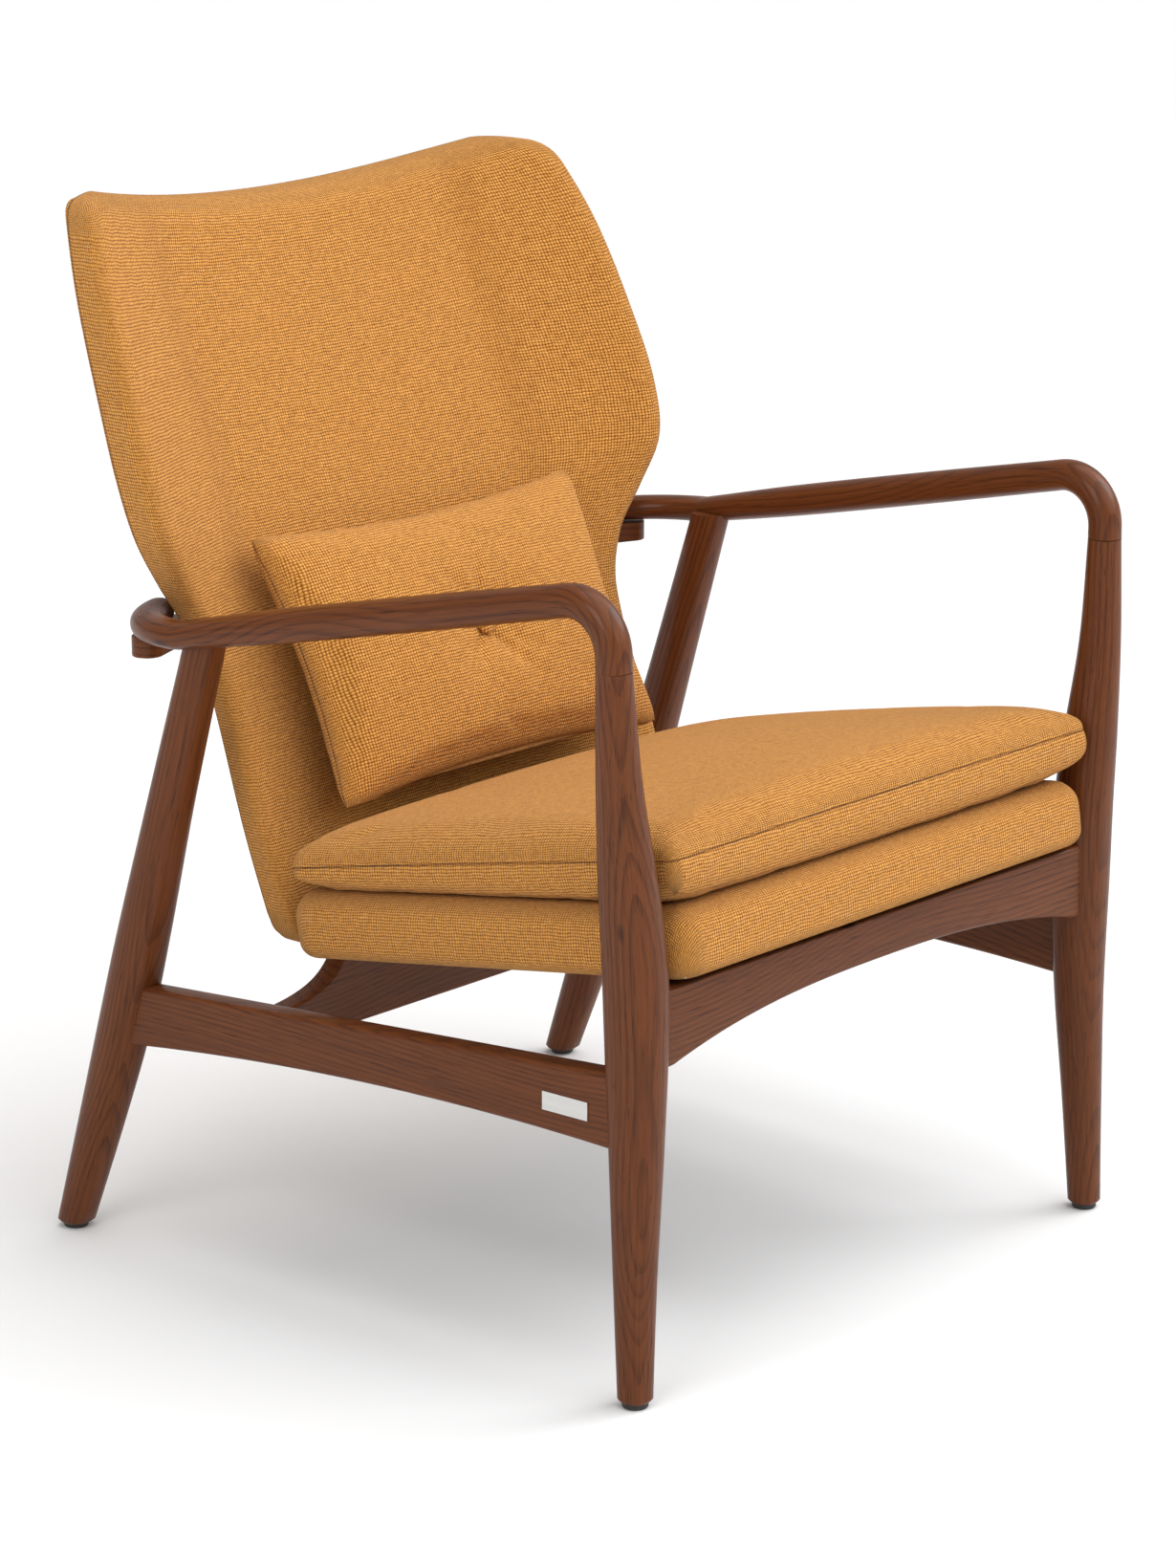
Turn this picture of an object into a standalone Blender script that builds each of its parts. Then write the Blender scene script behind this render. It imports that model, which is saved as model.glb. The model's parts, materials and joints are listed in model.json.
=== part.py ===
"""A wooden lounge armchair: a stained wood frame, an upholstered seat deck and wing back,
a loose seat cushion and a loose lumbar pillow. Metres, +Z up, the chair faces -Y."""

import math

import bmesh
import bpy
from mathutils import Matrix, Vector

# The frame's own depth axis starts at the middle of the seat; this centres the box on it.
DEPTH_SHIFT = -0.0165
FIT_GAP = 0.0003
FABRIC = 0.0016

GLIDE_HEIGHT = 0.0045
GLIDE_RADIUS = 0.0105
SEAT_SLOPE = math.radians(11.6)
DECK_SLOPE = math.radians(9.2)
BACK_SLOPE = 0.39
PILLOW_LEAN = math.radians(26.6)

# Leg stations: height, centre out from the middle, centre along the depth, width.
FRONT_LEG = (
    (0.0, 0.2955, -0.3210, 0.0262),
    (0.1, 0.2920, -0.3175, 0.0325),
    (0.2, 0.2875, -0.3145, 0.0405),
    (0.3, 0.2865, -0.3135, 0.0475),
    (0.36, 0.2885, -0.3130, 0.0480),
    (0.42, 0.2960, -0.3128, 0.0435),
    (0.5, 0.3063, -0.3128, 0.0335),
    (0.585, 0.3105, -0.3115, 0.0268),
)
REAR_LEG = (
    (0.0, 0.3110, 0.2985, 0.0300),
    (0.1, 0.3115, 0.2615, 0.0380),
    (0.19, 0.3115, 0.2300, 0.0435),
    (0.28, 0.3120, 0.2020, 0.0430),
    (0.4, 0.3130, 0.1645, 0.0375),
    (0.56, 0.3125, 0.1140, 0.0325),
)
LEG_TOP = FRONT_LEG[-1][0]
LEG_CHAMFER = 0.0025

# Armrest: a vertical start on the leg, a bend, a long slope, and an inward turn behind the back.
ARM_CORNER = Vector((0.3107, -0.3113, 0.6425))
ARM_BEND_RADIUS = 0.038
ARM_REAR = Vector((0.325, 0.135, 0.5450))
ARM_TURN_RADIUS = 0.09
ARM_TURN_END = math.radians(72)
ARM_END_HEIGHT = 0.5410
# Share of the length, half width, half height.
ARM_SECTIONS = (
    (0.0, 0.0134, 0.0134),
    (0.12, 0.0142, 0.0130),
    (0.35, 0.0165, 0.0138),
    (0.62, 0.0172, 0.0136),
    (0.82, 0.0165, 0.0112),
    (1.0, 0.0125, 0.0106),
)

CROSS_RAIL_RADIUS = 0.75
CROSS_RAIL_FRONT = 0.2508
CROSS_RAIL_DEPTH = 0.026
CROSS_RAIL_HALF = 0.312
CROSS_RAIL_BOTTOM, CROSS_RAIL_TOP = 0.5130, 0.5298

DOWEL_RADIUS = 0.005
FRONT_DOWEL_LENGTH, REAR_DOWEL_LENGTH = 0.036, 0.030
REAR_DOWEL_CENTRE, REAR_DOWEL_FOOT = 0.531, 0.500

# Side stretchers: centre lines from above, then heights of the edges, front to rear.
STRETCHER_THICK = 0.022
STRETCHER_FRONT = Vector((0.293, -0.3135))
STRETCHER_REAR = Vector((0.311, 0.2180))
STRETCHER_TOP = (0.2685, 0.2335)
STRETCHER_LOW = (0.2065, 0.2055, 0.1815)
SIDE_TENON = (0.030, 0.026, 0.012)
SIDE_TENON_REACH = 0.022
SIDE_TENON_HEIGHTS = (0.240, 0.209)
PLATE_SIZE = (0.045, 0.015, 0.0008)
PLATE_REACH, PLATE_LEVEL = 0.0555, 0.2335

FRONT_RAIL_HALF, FRONT_RAIL_THICK = 0.2865, 0.022
FRONT_RAIL_DEPTH = -0.3165
FRONT_RAIL_LOW_END, FRONT_RAIL_LOW_MIDDLE, FRONT_RAIL_TOP = 0.268, 0.2950, 0.3310
FRONT_RAIL_ARCH_HALF = 0.262
FRONT_TENON = (0.032, 0.012, 0.034)
FRONT_TENON_INSET, FRONT_TENON_HEIGHT = 0.022, 0.303

# Rear rail: its lower edge, then the sweep of its upper edge as (out, height) points.
REAR_RAIL_DEPTH = 0.0978
REAR_RAIL_THICK = 0.020
REAR_RAIL_LOW, REAR_RAIL_END_TOP = 0.194, 0.2225
REAR_RAIL_SWEEP = ((0.265, 0.2245), (0.235, 0.2290), (0.212, 0.2370), (0.196, 0.2500), (0.186, 0.2680))
REAR_RAIL_CROWN = ((0.181, 0.2790), (0.165, 0.2840), (0.145, 0.2900), (0.128, 0.306))
REAR_TENON = (0.024, 0.012, 0.018)
REAR_TENON_HEIGHT = 0.208

SEAT_HALF = 0.262
SEAT_FRONT, SEAT_REAR = -0.338, 0.085
DECK_THICK = 0.056
DECK_CENTRE = Vector((0.0, (SEAT_FRONT + SEAT_REAR) / 2, 0.3314))
CUSHION_HALF = 0.274
CUSHION_SEAM = 0.348
CUSHION_CROWN = 0.037
CUSHION_DEPTH_FRONT, CUSHION_DEPTH_REAR = 0.0385, 0.0205

PILLOW_HALF_WIDTH, PILLOW_HALF_HEIGHT = 0.200, 0.123
PILLOW_CENTRE = Vector((0.0, 0.1345, 0.4885))
PILLOW_HALF_THICK = 0.041
BUTTON_RADIUS = 0.011
ZIP_SLOT = (0.020, 0.0046)
ZIP_TEETH = (0.004, 0.0034)

# Inside the deck: wood bars, webbing and a dust cover.
BAR_WIDTH, BAR_HEIGHT = 0.040, 0.022
BAR_INSET, BAR_LIFT = 0.007, 0.0015
STRAP_COUNT, STRAP_WIDTH, STRAP_THICK = 5, 0.045, 0.0016
COVER_ROUND, COVER_MOUTH, LINING_THICK = 0.011, 0.012, 0.0008

# Screws: shank radius, head radius, and the heights of the countersink over the head's face.
ARM_SCREW, WOOD_SCREW = (0.0022, 0.0042), (0.0024, 0.0046)
HEAD_FACE, HEAD_RIM, HEAD_NECK = 0.0005, 0.0012, 0.0038
ARM_SCREW_OUT, ARM_SCREW_BEHIND, ARM_SCREW_LENGTH = 0.2830, 0.0135, 0.028
DECK_FRONT_SCREW, DECK_FRONT_LENGTH = Vector((0.13, -0.3165, 0.2930)), 0.052
DECK_REAR_SCREW, DECK_REAR_LENGTH = (0.10, 0.2915), 0.056
BACK_UPPER_OUT, BACK_UPPER_LENGTH = 0.12, 0.038
BACK_LOWER_SCREW, BACK_LOWER_LENGTH = (0.05, 0.2955), 0.066

# Back outline: height, half width, forward reach of the wings.
BACK_OUTLINE = (
    (0.269, 0.241, 0.000),
    (0.36, 0.247, 0.000),
    (0.48, 0.247, 0.002),
    (0.53, 0.262, 0.012),
    (0.565, 0.286, 0.026),
    (0.605, 0.309, 0.044),
    (0.65, 0.315, 0.050),
    (0.70, 0.3115, 0.050),
    (0.77, 0.299, 0.043),
    (0.82, 0.286, 0.034),
    (0.838, 0.275, 0.030),
    (0.848, 0.252, 0.028),
)
BACK_THICK = 0.048
BACK_DIP = 0.022
BACK_PLY = 0.010
BACK_EDGE_ROUND = 0.014
BACK_END_SHARES = (0.0, 0.012, 0.03)
BACK_LEVEL = 0.5
BACK_DEPTH = 0.19
WING_START = 0.165
PLY_REAR = 0.003

WOOD = ((0.105, 0.034, 0.013), 0.42, 0.0)
FABRIC_FINISH = ((0.44, 0.19, 0.035), 0.92, 0.0)
FOAM = ((0.82, 0.78, 0.62), 0.95, 0.0)
PLYWOOD = ((0.45, 0.30, 0.16), 0.60, 0.0)
WEBBING = ((0.05, 0.05, 0.05), 0.85, 0.0)
DARK_PLASTIC = ((0.012, 0.010, 0.009), 0.45, 0.0)
STEEL = ((0.55, 0.55, 0.56), 0.32, 1.0)
PLATE = ((0.62, 0.61, 0.60), 0.38, 1.0)
LINING = ((0.03, 0.03, 0.03), 0.95, 0.0)


def clear_scene():
    for old in list(bpy.data.objects):
        bpy.data.objects.remove(old, do_unlink=True)


def new_collection(name):
    made = bpy.data.collections.new(name)
    bpy.context.scene.collection.children.link(made)
    return made


def new_empty(name, location, rotation, parent=None):
    empty = bpy.data.objects.new(name, None)
    chair.objects.link(empty)
    empty.location = location
    empty.rotation_euler = rotation
    empty.parent = parent
    return empty


def give_finish(obj, finish):
    colour, roughness, metallic = finish
    material = bpy.data.materials.new(obj.name + "_finish")
    material.use_nodes = True
    shader = material.node_tree.nodes["Principled BSDF"]
    shader.inputs["Base Color"].default_value = (*colour, 1.0)
    shader.inputs["Roughness"].default_value = roughness
    shader.inputs["Metallic"].default_value = metallic
    obj.data.materials.clear()
    obj.data.materials.append(material)


def place(name, mesh, finish=None, parent=None, location=(0, 0, 0), rotation=(0, 0, 0)):
    """An object in the chair's frame. Without a finish it is a cutter."""
    obj = bpy.data.objects.new(name, mesh)
    (chair if finish else cutters).objects.link(obj)
    obj.parent = parent or chair_frame
    obj.location = location
    obj.rotation_euler = rotation
    if finish:
        give_finish(obj, finish)
    else:
        obj.hide_render = True
        obj.display_type = "WIRE"
    return obj


def mesh_from(name, made):
    bmesh.ops.recalc_face_normals(made, faces=made.faces)
    mesh = bpy.data.meshes.new(name)
    made.to_mesh(mesh)
    made.free()
    return mesh


def smooth(obj, degrees=35):
    obj.data.shade_smooth()
    obj.data.set_sharp_from_angle(angle=math.radians(degrees))


def boolean(obj, other, operation="DIFFERENCE"):
    step = obj.modifiers.new(operation.lower() + "_" + other.name, "BOOLEAN")
    step.operation = operation
    step.solver = "EXACT"
    step.object = other


def bevel(obj, width, segments=1):
    step = obj.modifiers.new("rounded_edges", "BEVEL")
    step.width = width
    step.segments = segments
    step.limit_method = "ANGLE"
    step.angle_limit = math.radians(40)


def block(name, size, finish=None, rounding=0.0, **where):
    """A box of a full size, with its edges broken where rounding is given."""
    made = bmesh.new()
    bmesh.ops.create_cube(made, size=1.0)
    bmesh.ops.scale(made, vec=size, verts=made.verts)
    obj = place(name, mesh_from(name, made), finish, **where)
    if rounding:
        bevel(obj, rounding)
    return obj


def grown(size):
    """The size of the pocket that a tenon of this size fits."""
    return [edge + 2 * FIT_GAP for edge in size]


def rod(name, radius, length, finish=None, sides=12, **where):
    made = bmesh.new()
    bmesh.ops.create_cone(made, cap_ends=True, segments=sides, radius1=radius, radius2=radius, depth=length)
    obj = place(name, mesh_from(name, made), finish, **where)
    if finish:
        smooth(obj)
    return obj


def turned(name, profile, finish, steps=16, **where):
    """A profile of (radius, height) points, top to bottom, turned about its own Z."""
    mesh = bpy.data.meshes.new(name)
    points = [(radius, 0.0, height) for radius, height in profile]
    mesh.from_pydata(points, [(i, i + 1) for i in range(len(points) - 1)], [])
    obj = place(name, mesh, finish, **where)
    screw = obj.modifiers.new("turned", "SCREW")
    screw.steps = screw.render_steps = steps
    screw.use_merge_vertices = True
    screw.merge_threshold = 0.0001
    screw.use_smooth_shade = True
    return obj


def flat_outline(name, points, thickness, finish=None, rounding=0.0, **where):
    """A flat closed outline in its own XY plane, thickened to both sides and made a mesh."""
    curve = bpy.data.curves.new(name + "_outline", "CURVE")
    curve.dimensions = "2D"
    curve.fill_mode = "BOTH"
    curve.extrude = thickness / 2
    spline = curve.splines.new("POLY")
    spline.points.add(len(points) - 1)
    for point, (x, y) in zip(spline.points, points):
        point.co = (x, y, 0.0, 1.0)
    spline.use_cyclic_u = True
    drawn = bpy.data.objects.new(name + "_outline", curve)
    cutters.objects.link(drawn)
    bpy.context.view_layer.update()
    graph = bpy.context.evaluated_depsgraph_get()
    mesh = bpy.data.meshes.new_from_object(drawn.evaluated_get(graph))
    bpy.data.objects.remove(drawn)
    made = bmesh.new()
    made.from_mesh(mesh)
    bmesh.ops.remove_doubles(made, verts=made.verts, dist=0.00001)
    bmesh.ops.dissolve_limit(made, angle_limit=0.001, verts=made.verts, edges=made.edges)
    obj = place(name, mesh_from(name, made), finish, **where)
    if rounding:
        bevel(obj, rounding)
    return obj


def through(stations, at):
    """Values read at one place from a smooth curve through stations, each a place and its values."""
    places = [station[0] for station in stations]
    last = len(stations) - 1
    step = max(i for i in range(last) if places[i] <= at or i == 0)
    share = min(max((at - places[step]) / (places[step + 1] - places[step]), 0.0), 1.0)

    def slope(index):
        low, high = max(index - 1, 0), min(index + 1, last)
        run = places[high] - places[low]
        return [(b - a) / run for a, b in zip(stations[low][1:], stations[high][1:])]

    span = places[step + 1] - places[step]
    start, end = stations[step][1:], stations[step + 1][1:]
    found = []
    for a, b, slope_a, slope_b in zip(start, end, slope(step), slope(step + 1)):
        rise = (2 * share**3 - 3 * share**2 + 1) * a + (3 * share**2 - 2 * share**3) * b
        turn = (share**3 - 2 * share**2 + share) * slope_a + (share**3 - share**2) * slope_b
        found.append(rise + turn * span)
    return found


def oval(centre, across, along, half_across, half_along, sides=12, softness=2.35):
    """One section: a soft oval, squarer than an ellipse, round a centre."""
    ring = []
    for i in range(sides):
        angle = 2 * math.pi * (i + 0.5) / sides
        cosine, sine = math.cos(angle), math.sin(angle)
        reach = (abs(cosine) ** softness + abs(sine) ** softness) ** (-1 / softness)
        ring.append(centre + across * (half_across * reach * cosine) + along * (half_along * reach * sine))
    return ring


def skin(name, rings):
    """A closed mesh through sections of the same number of points, with a cap on each end."""
    made = bmesh.new()
    loops = [[made.verts.new(point) for point in ring] for ring in rings]
    count = len(rings[0])
    for lower, upper in zip(loops, loops[1:]):
        for i in range(count):
            j = (i + 1) % count
            made.faces.new((lower[i], lower[j], upper[j], upper[i]))
    for ring in (loops[0], loops[-1]):
        made.faces.new(ring)
    return mesh_from(name, made)


def leg_mesh(name, stations, side, bottom, top, grow=0.0, rings=10):
    heights = [bottom, bottom + LEG_CHAMFER]
    heights += [bottom + LEG_CHAMFER + (top - bottom - LEG_CHAMFER) * i / rings for i in range(1, rings + 1)]
    made = []
    for i, height in enumerate(heights):
        out, depth, width = through(stations, height)
        half = width / 2 + grow - (LEG_CHAMFER if i == 0 else 0.0)
        centre = Vector((side * out, depth, height))
        made.append(oval(centre, Vector((1, 0, 0)), Vector((0, 1, 0)), half, half))
    return skin(name, made)


def arm_path(samples=22):
    """Centre points of the left armrest from the leg's top to its rear end."""
    slope = (ARM_REAR - ARM_CORNER).normalized()
    rise = Vector((0, 0, 1))
    turn = rise.angle(slope)
    tangent = ARM_BEND_RADIUS * math.tan(turn / 2)
    bend_start = ARM_CORNER - rise * tangent
    inward = (slope - rise * slope.dot(rise)).normalized()
    centre = bend_start + inward * ARM_BEND_RADIUS
    points = [Vector((ARM_CORNER.x - 0.0002, FRONT_LEG[-1][2], LEG_TOP + FIT_GAP)), bend_start]
    bend_steps = 6
    for i in range(1, bend_steps + 1):
        angle = turn * i / bend_steps
        sideways, upward = ARM_BEND_RADIUS * math.cos(angle), ARM_BEND_RADIUS * math.sin(angle)
        points.append(centre - inward * sideways + rise * upward)
    long_steps = 5
    bend_end = points[-1]
    points += [bend_end.lerp(ARM_REAR, i / long_steps) for i in range(1, long_steps + 1)]
    turn_steps = samples - len(points)
    for i in range(1, turn_steps + 1):
        angle = ARM_TURN_END * i / turn_steps
        radius = ARM_TURN_RADIUS + 0.004 * i / turn_steps
        height = ARM_REAR.z + (ARM_END_HEIGHT - ARM_REAR.z) * math.sin(math.pi / 2 * i / turn_steps)
        x = ARM_REAR.x - ARM_TURN_RADIUS + radius * math.cos(angle)
        points.append(Vector((x, ARM_REAR.y + radius * math.sin(angle), height)))
    return points


def arm_mesh(name, side, grow=0.0):
    points = arm_path()
    lengths = [0.0]
    for a, b in zip(points, points[1:]):
        lengths.append(lengths[-1] + (b - a).length)
    across = Vector((1, 0, 0))
    rings = []
    for i, point in enumerate(points):
        ahead = points[min(i + 1, len(points) - 1)] - points[max(i - 1, 0)]
        direction = Vector((0, 0, 1)) if i == 0 else ahead.normalized()
        across = (across - direction * across.dot(direction)).normalized()
        along = direction.cross(across)
        half_width, half_height = through(ARM_SECTIONS, lengths[i] / lengths[-1])
        rings.append(oval(point, across, along, half_width + grow, half_height + grow))
        if i == len(points) - 1:
            for reach, size in ((0.0045, 0.86), (0.007, 0.55)):
                tip = point + direction * reach
                rings.append(oval(tip, across, along, half_width * size + grow, half_height * size + grow))
    mirrored = [[Vector((side * p.x, p.y, p.z)) for p in ring] for ring in rings]
    return skin(name, mirrored)


def stretcher_frame(side):
    """Where the side stretcher lies: its own X runs rearward, its own Y up, its own Z across."""
    start = Vector((side * STRETCHER_FRONT.x, STRETCHER_FRONT.y, 0))
    run = Vector((side * STRETCHER_REAR.x, STRETCHER_REAR.y, 0)) - start
    along = run.normalized()
    up = Vector((0, 0, 1))
    across = along.cross(up)
    turn = Matrix((along, up, across)).transposed().to_euler()
    return start, turn, run.length


def side_stretcher(name, side, front_leg, rear_leg):
    """A board straight on top and slightly arched below, tenoned into both legs."""
    start, turn, length = stretcher_frame(side)
    top_front, top_rear = STRETCHER_TOP
    low_front, low_middle, low_rear = STRETCHER_LOW
    steps = 8
    lower = []
    for i in range(steps + 1):
        share = i / steps
        straight = low_front + (low_rear - low_front) * share
        arch = (low_middle - (low_front + low_rear) / 2) * 4 * share * (1 - share)
        lower.append((length * share, straight + arch))
    outline = lower + [(length, top_rear), (0.0, top_front)]
    board = flat_outline(name, outline, STRETCHER_THICK, WOOD, 0.004, location=start, rotation=turn)
    for leg_form in (front_leg, rear_leg):
        boolean(board, leg_form)
    along = (Vector((side * STRETCHER_REAR.x, STRETCHER_REAR.y, 0)) - start).normalized()
    reaches = (SIDE_TENON_REACH, length - SIDE_TENON_REACH)
    for end, reach, height in zip(("front", "rear"), reaches, SIDE_TENON_HEIGHTS):
        spot = start + along * reach + Vector((0, 0, height))
        boolean(board, block(f"{name}_{end}_tenon", SIDE_TENON, location=spot, rotation=turn), "UNION")
        block(f"{name}_{end}_mortise", grown(SIDE_TENON), location=spot, rotation=turn)
    return board


def build_legs():
    """Four legs, and the slightly larger forms that fit their neighbours to them."""
    forms = {}
    bottom = GLIDE_HEIGHT + FIT_GAP
    for side, hand in ((-1, "right"), (1, "left")):
        arm_form = place(f"{hand}_arm_form", arm_mesh("form", side, FIT_GAP))
        for end, stations, top in (("front", FRONT_LEG, LEG_TOP), ("rear", REAR_LEG, REAR_LEG[-1][0])):
            name = f"{hand}_{end}_leg"
            leg = place(name, leg_mesh(name, stations, side, bottom, top), WOOD)
            smooth(leg)
            if end == "rear":
                boolean(leg, arm_form)
            form = place(name + "_form", leg_mesh("form", stations, side, bottom, top, FIT_GAP))
            forms[hand, end] = leg, form
    return forms


def build_armrests():
    arms = {}
    for side, hand in ((-1, "right"), (1, "left")):
        name = f"{hand}_armrest"
        arms[hand] = place(name, arm_mesh(name, side), WOOD)
        smooth(arms[hand])
    return arms


def build_dowels(forms, arms):
    """Round pegs from each leg's top up into the armrest."""
    rear_top = through(REAR_LEG, REAR_DOWEL_CENTRE)
    rear_low = through(REAR_LEG, REAR_DOWEL_FOOT)
    rake = math.atan2(rear_low[1] - rear_top[1], REAR_DOWEL_CENTRE - REAR_DOWEL_FOOT)
    for side, hand in ((-1, "right"), (1, "left")):
        front = Vector((side * FRONT_LEG[-1][1], FRONT_LEG[-1][2], LEG_TOP))
        rear = Vector((side * rear_top[0], rear_top[1], REAR_DOWEL_CENTRE))
        for end, spot, lean, long in (
            ("front", front, 0.0, FRONT_DOWEL_LENGTH),
            ("rear", rear, rake, REAR_DOWEL_LENGTH),
        ):
            where = {"location": spot, "rotation": (lean, 0, 0)}
            rod(f"{hand}_{end}_arm_dowel", DOWEL_RADIUS, long, PLYWOOD, **where)
            hole = rod(f"{hand}_{end}_dowel_hole", DOWEL_RADIUS + FIT_GAP, long + 0.002, **where)
            boolean(forms[hand, end][0], hole)
            boolean(arms[hand], hole)


def build_stretchers(forms):
    boards = {}
    for side, hand in ((-1, "right"), (1, "left")):
        name = f"{hand}_side_stretcher"
        boards[hand] = side_stretcher(name, side, forms[hand, "front"][1], forms[hand, "rear"][1])
        for end in ("front", "rear"):
            boolean(forms[hand, end][0], bpy.data.objects[f"{name}_{end}_mortise"])
    return boards


def build_front_rail(forms):
    """A board arched on its lower edge, tenoned into both front legs."""
    half = FRONT_RAIL_HALF
    steps = 14
    lower = []
    for i in range(steps + 1):
        x = -half + 2 * half * i / steps
        share = min(abs(x) / FRONT_RAIL_ARCH_HALF, 1.0)
        lower.append((x, FRONT_RAIL_LOW_MIDDLE - (FRONT_RAIL_LOW_MIDDLE - FRONT_RAIL_LOW_END) * share**2.6))
    outline = lower + [(half, FRONT_RAIL_TOP), (-half, FRONT_RAIL_TOP)]
    where = {"location": (0, FRONT_RAIL_DEPTH, 0), "rotation": (math.pi / 2, 0, 0)}
    rail = flat_outline("front_rail", outline, FRONT_RAIL_THICK, WOOD, 0.003, **where)
    for side, hand in ((-1, "right"), (1, "left")):
        leg, form = forms[hand, "front"]
        boolean(rail, form)
        spot = (side * (half - FRONT_TENON_INSET), FRONT_RAIL_DEPTH, FRONT_TENON_HEIGHT)
        boolean(rail, block(f"front_rail_{hand}_tenon", FRONT_TENON, location=spot), "UNION")
        boolean(leg, block(f"front_rail_{hand}_mortise", grown(FRONT_TENON), location=spot))
    return rail


def build_rear_rail(boards):
    """A plank between the side stretchers whose upper edge sweeps up to carry deck and back."""
    lean = (STRETCHER_REAR.x - STRETCHER_FRONT.x) / (STRETCHER_REAR.y - STRETCHER_FRONT.y)
    reach = STRETCHER_FRONT.x + lean * (REAR_RAIL_DEPTH - REAR_RAIL_THICK / 2 - STRETCHER_FRONT.y)
    half = reach - STRETCHER_THICK / 2 - 2 * FIT_GAP
    left_side = [(half, REAR_RAIL_LOW), (half, REAR_RAIL_END_TOP), *REAR_RAIL_SWEEP, *REAR_RAIL_CROWN]
    right_side = [(-x, z) for x, z in reversed(left_side)]
    where = {"location": (0, REAR_RAIL_DEPTH, 0), "rotation": (math.pi / 2, 0, 0)}
    rail = flat_outline("rear_seat_rail", left_side + right_side, REAR_RAIL_THICK, WOOD, 0.0025, **where)
    for side, hand in ((-1, "right"), (1, "left")):
        spot = (side * (half - 0.001), REAR_RAIL_DEPTH, REAR_TENON_HEIGHT)
        boolean(rail, block(f"rear_rail_{hand}_tenon", REAR_TENON, location=spot), "UNION")
        boolean(boards[hand], block(f"rear_rail_{hand}_mortise", grown(REAR_TENON), location=spot))
    return rail


def cross_rail_front(x):
    return CROSS_RAIL_FRONT - CROSS_RAIL_RADIUS + math.sqrt(CROSS_RAIL_RADIUS**2 - x * x)


def build_cross_rail(arms):
    """A bowed rail under the armrests' rear ends, with round ends, behind the back."""
    steps, end_steps = 10, 4
    inner = CROSS_RAIL_HALF - CROSS_RAIL_DEPTH / 2
    front = []
    rear = []
    for i in range(steps + 1):
        x = -inner + 2 * inner * i / steps
        front.append((x, cross_rail_front(x)))
        rear.append((x, cross_rail_front(x) + CROSS_RAIL_DEPTH))
    middle = cross_rail_front(inner) + CROSS_RAIL_DEPTH / 2
    turn = [-math.pi / 2 + math.pi * i / (end_steps + 1) for i in range(1, end_steps + 1)]
    radius = CROSS_RAIL_DEPTH / 2
    right_end = [(inner + radius * math.cos(a), middle + radius * math.sin(a)) for a in turn]
    left_end = [(-x, y) for x, y in reversed(right_end)]
    outline = front + right_end + rear[::-1] + left_end
    rail = flat_outline(
        "back_cross_rail",
        outline,
        CROSS_RAIL_TOP - CROSS_RAIL_BOTTOM,
        WOOD,
        0.004,
        location=(0, 0, (CROSS_RAIL_TOP + CROSS_RAIL_BOTTOM) / 2),
    )
    for side, hand in ((-1, "right"), (1, "left")):
        behind = cross_rail_front(ARM_SCREW_OUT) + ARM_SCREW_BEHIND
        spot = Vector((side * ARM_SCREW_OUT, behind, CROSS_RAIL_BOTTOM))
        drive_screw(f"{hand}_arm_screw", spot, (0, 0, 0), ARM_SCREW_LENGTH, ARM_SCREW, (rail, arms[hand]))
    return rail


def drive_screw(name, location, rotation, length, radii, through_pieces):
    """A countersunk screw whose flat head faces its own -Z, and its hole in each piece it passes through."""
    shank, head = radii
    profile = (
        (0.0, length),
        (shank * 0.5, length - 0.002),
        (shank, length - 0.005),
        (shank, HEAD_NECK),
        (head, HEAD_RIM),
        (head, HEAD_FACE),
        (0.0, HEAD_FACE),
    )
    turned(name, profile, STEEL, 12, location=location, rotation=rotation)
    bore = (
        (0.0, length + 0.001),
        (shank + FIT_GAP, length + 0.0005),
        (shank + FIT_GAP, HEAD_NECK + FIT_GAP),
        (head + FIT_GAP, HEAD_RIM + FIT_GAP),
        (head + FIT_GAP, -0.004),
        (0.0, -0.004),
    )
    hole = turned(name + "_hole", bore, None, 12, location=location, rotation=rotation)
    for obj in through_pieces:
        boolean(obj, hole)


def build_glides():
    """A dark nylon disc under each leg."""
    for end, stations in (("front", FRONT_LEG), ("rear", REAR_LEG)):
        out, depth, _ = through(stations, GLIDE_HEIGHT)
        for side, hand in ((-1, "right"), (1, "left")):
            top, rim = (GLIDE_RADIUS, GLIDE_HEIGHT), (GLIDE_RADIUS - 0.001, 0.0)
            profile = ((0.0, GLIDE_HEIGHT), top, (GLIDE_RADIUS, 0.001), rim, (0.0, 0.0))
            turned(f"{hand}_{end}_glide", profile, DARK_PLASTIC, location=(side * out, depth, 0))


def build_label_plate():
    """A small blank metal plate on the right stretcher's outer face."""
    start, turn, _ = stretcher_frame(-1)
    direction = (Vector((-STRETCHER_REAR.x, STRETCHER_REAR.y, 0)) - start).normalized()
    outward = Vector((-direction.y, direction.x, 0))
    spot = start + direction * PLATE_REACH + Vector((0, 0, PLATE_LEVEL))
    spot += outward * (STRETCHER_THICK / 2 + PLATE_SIZE[2] / 2 + FIT_GAP)
    block("label_plate", PLATE_SIZE, PLATE, location=spot, rotation=turn)


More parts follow.
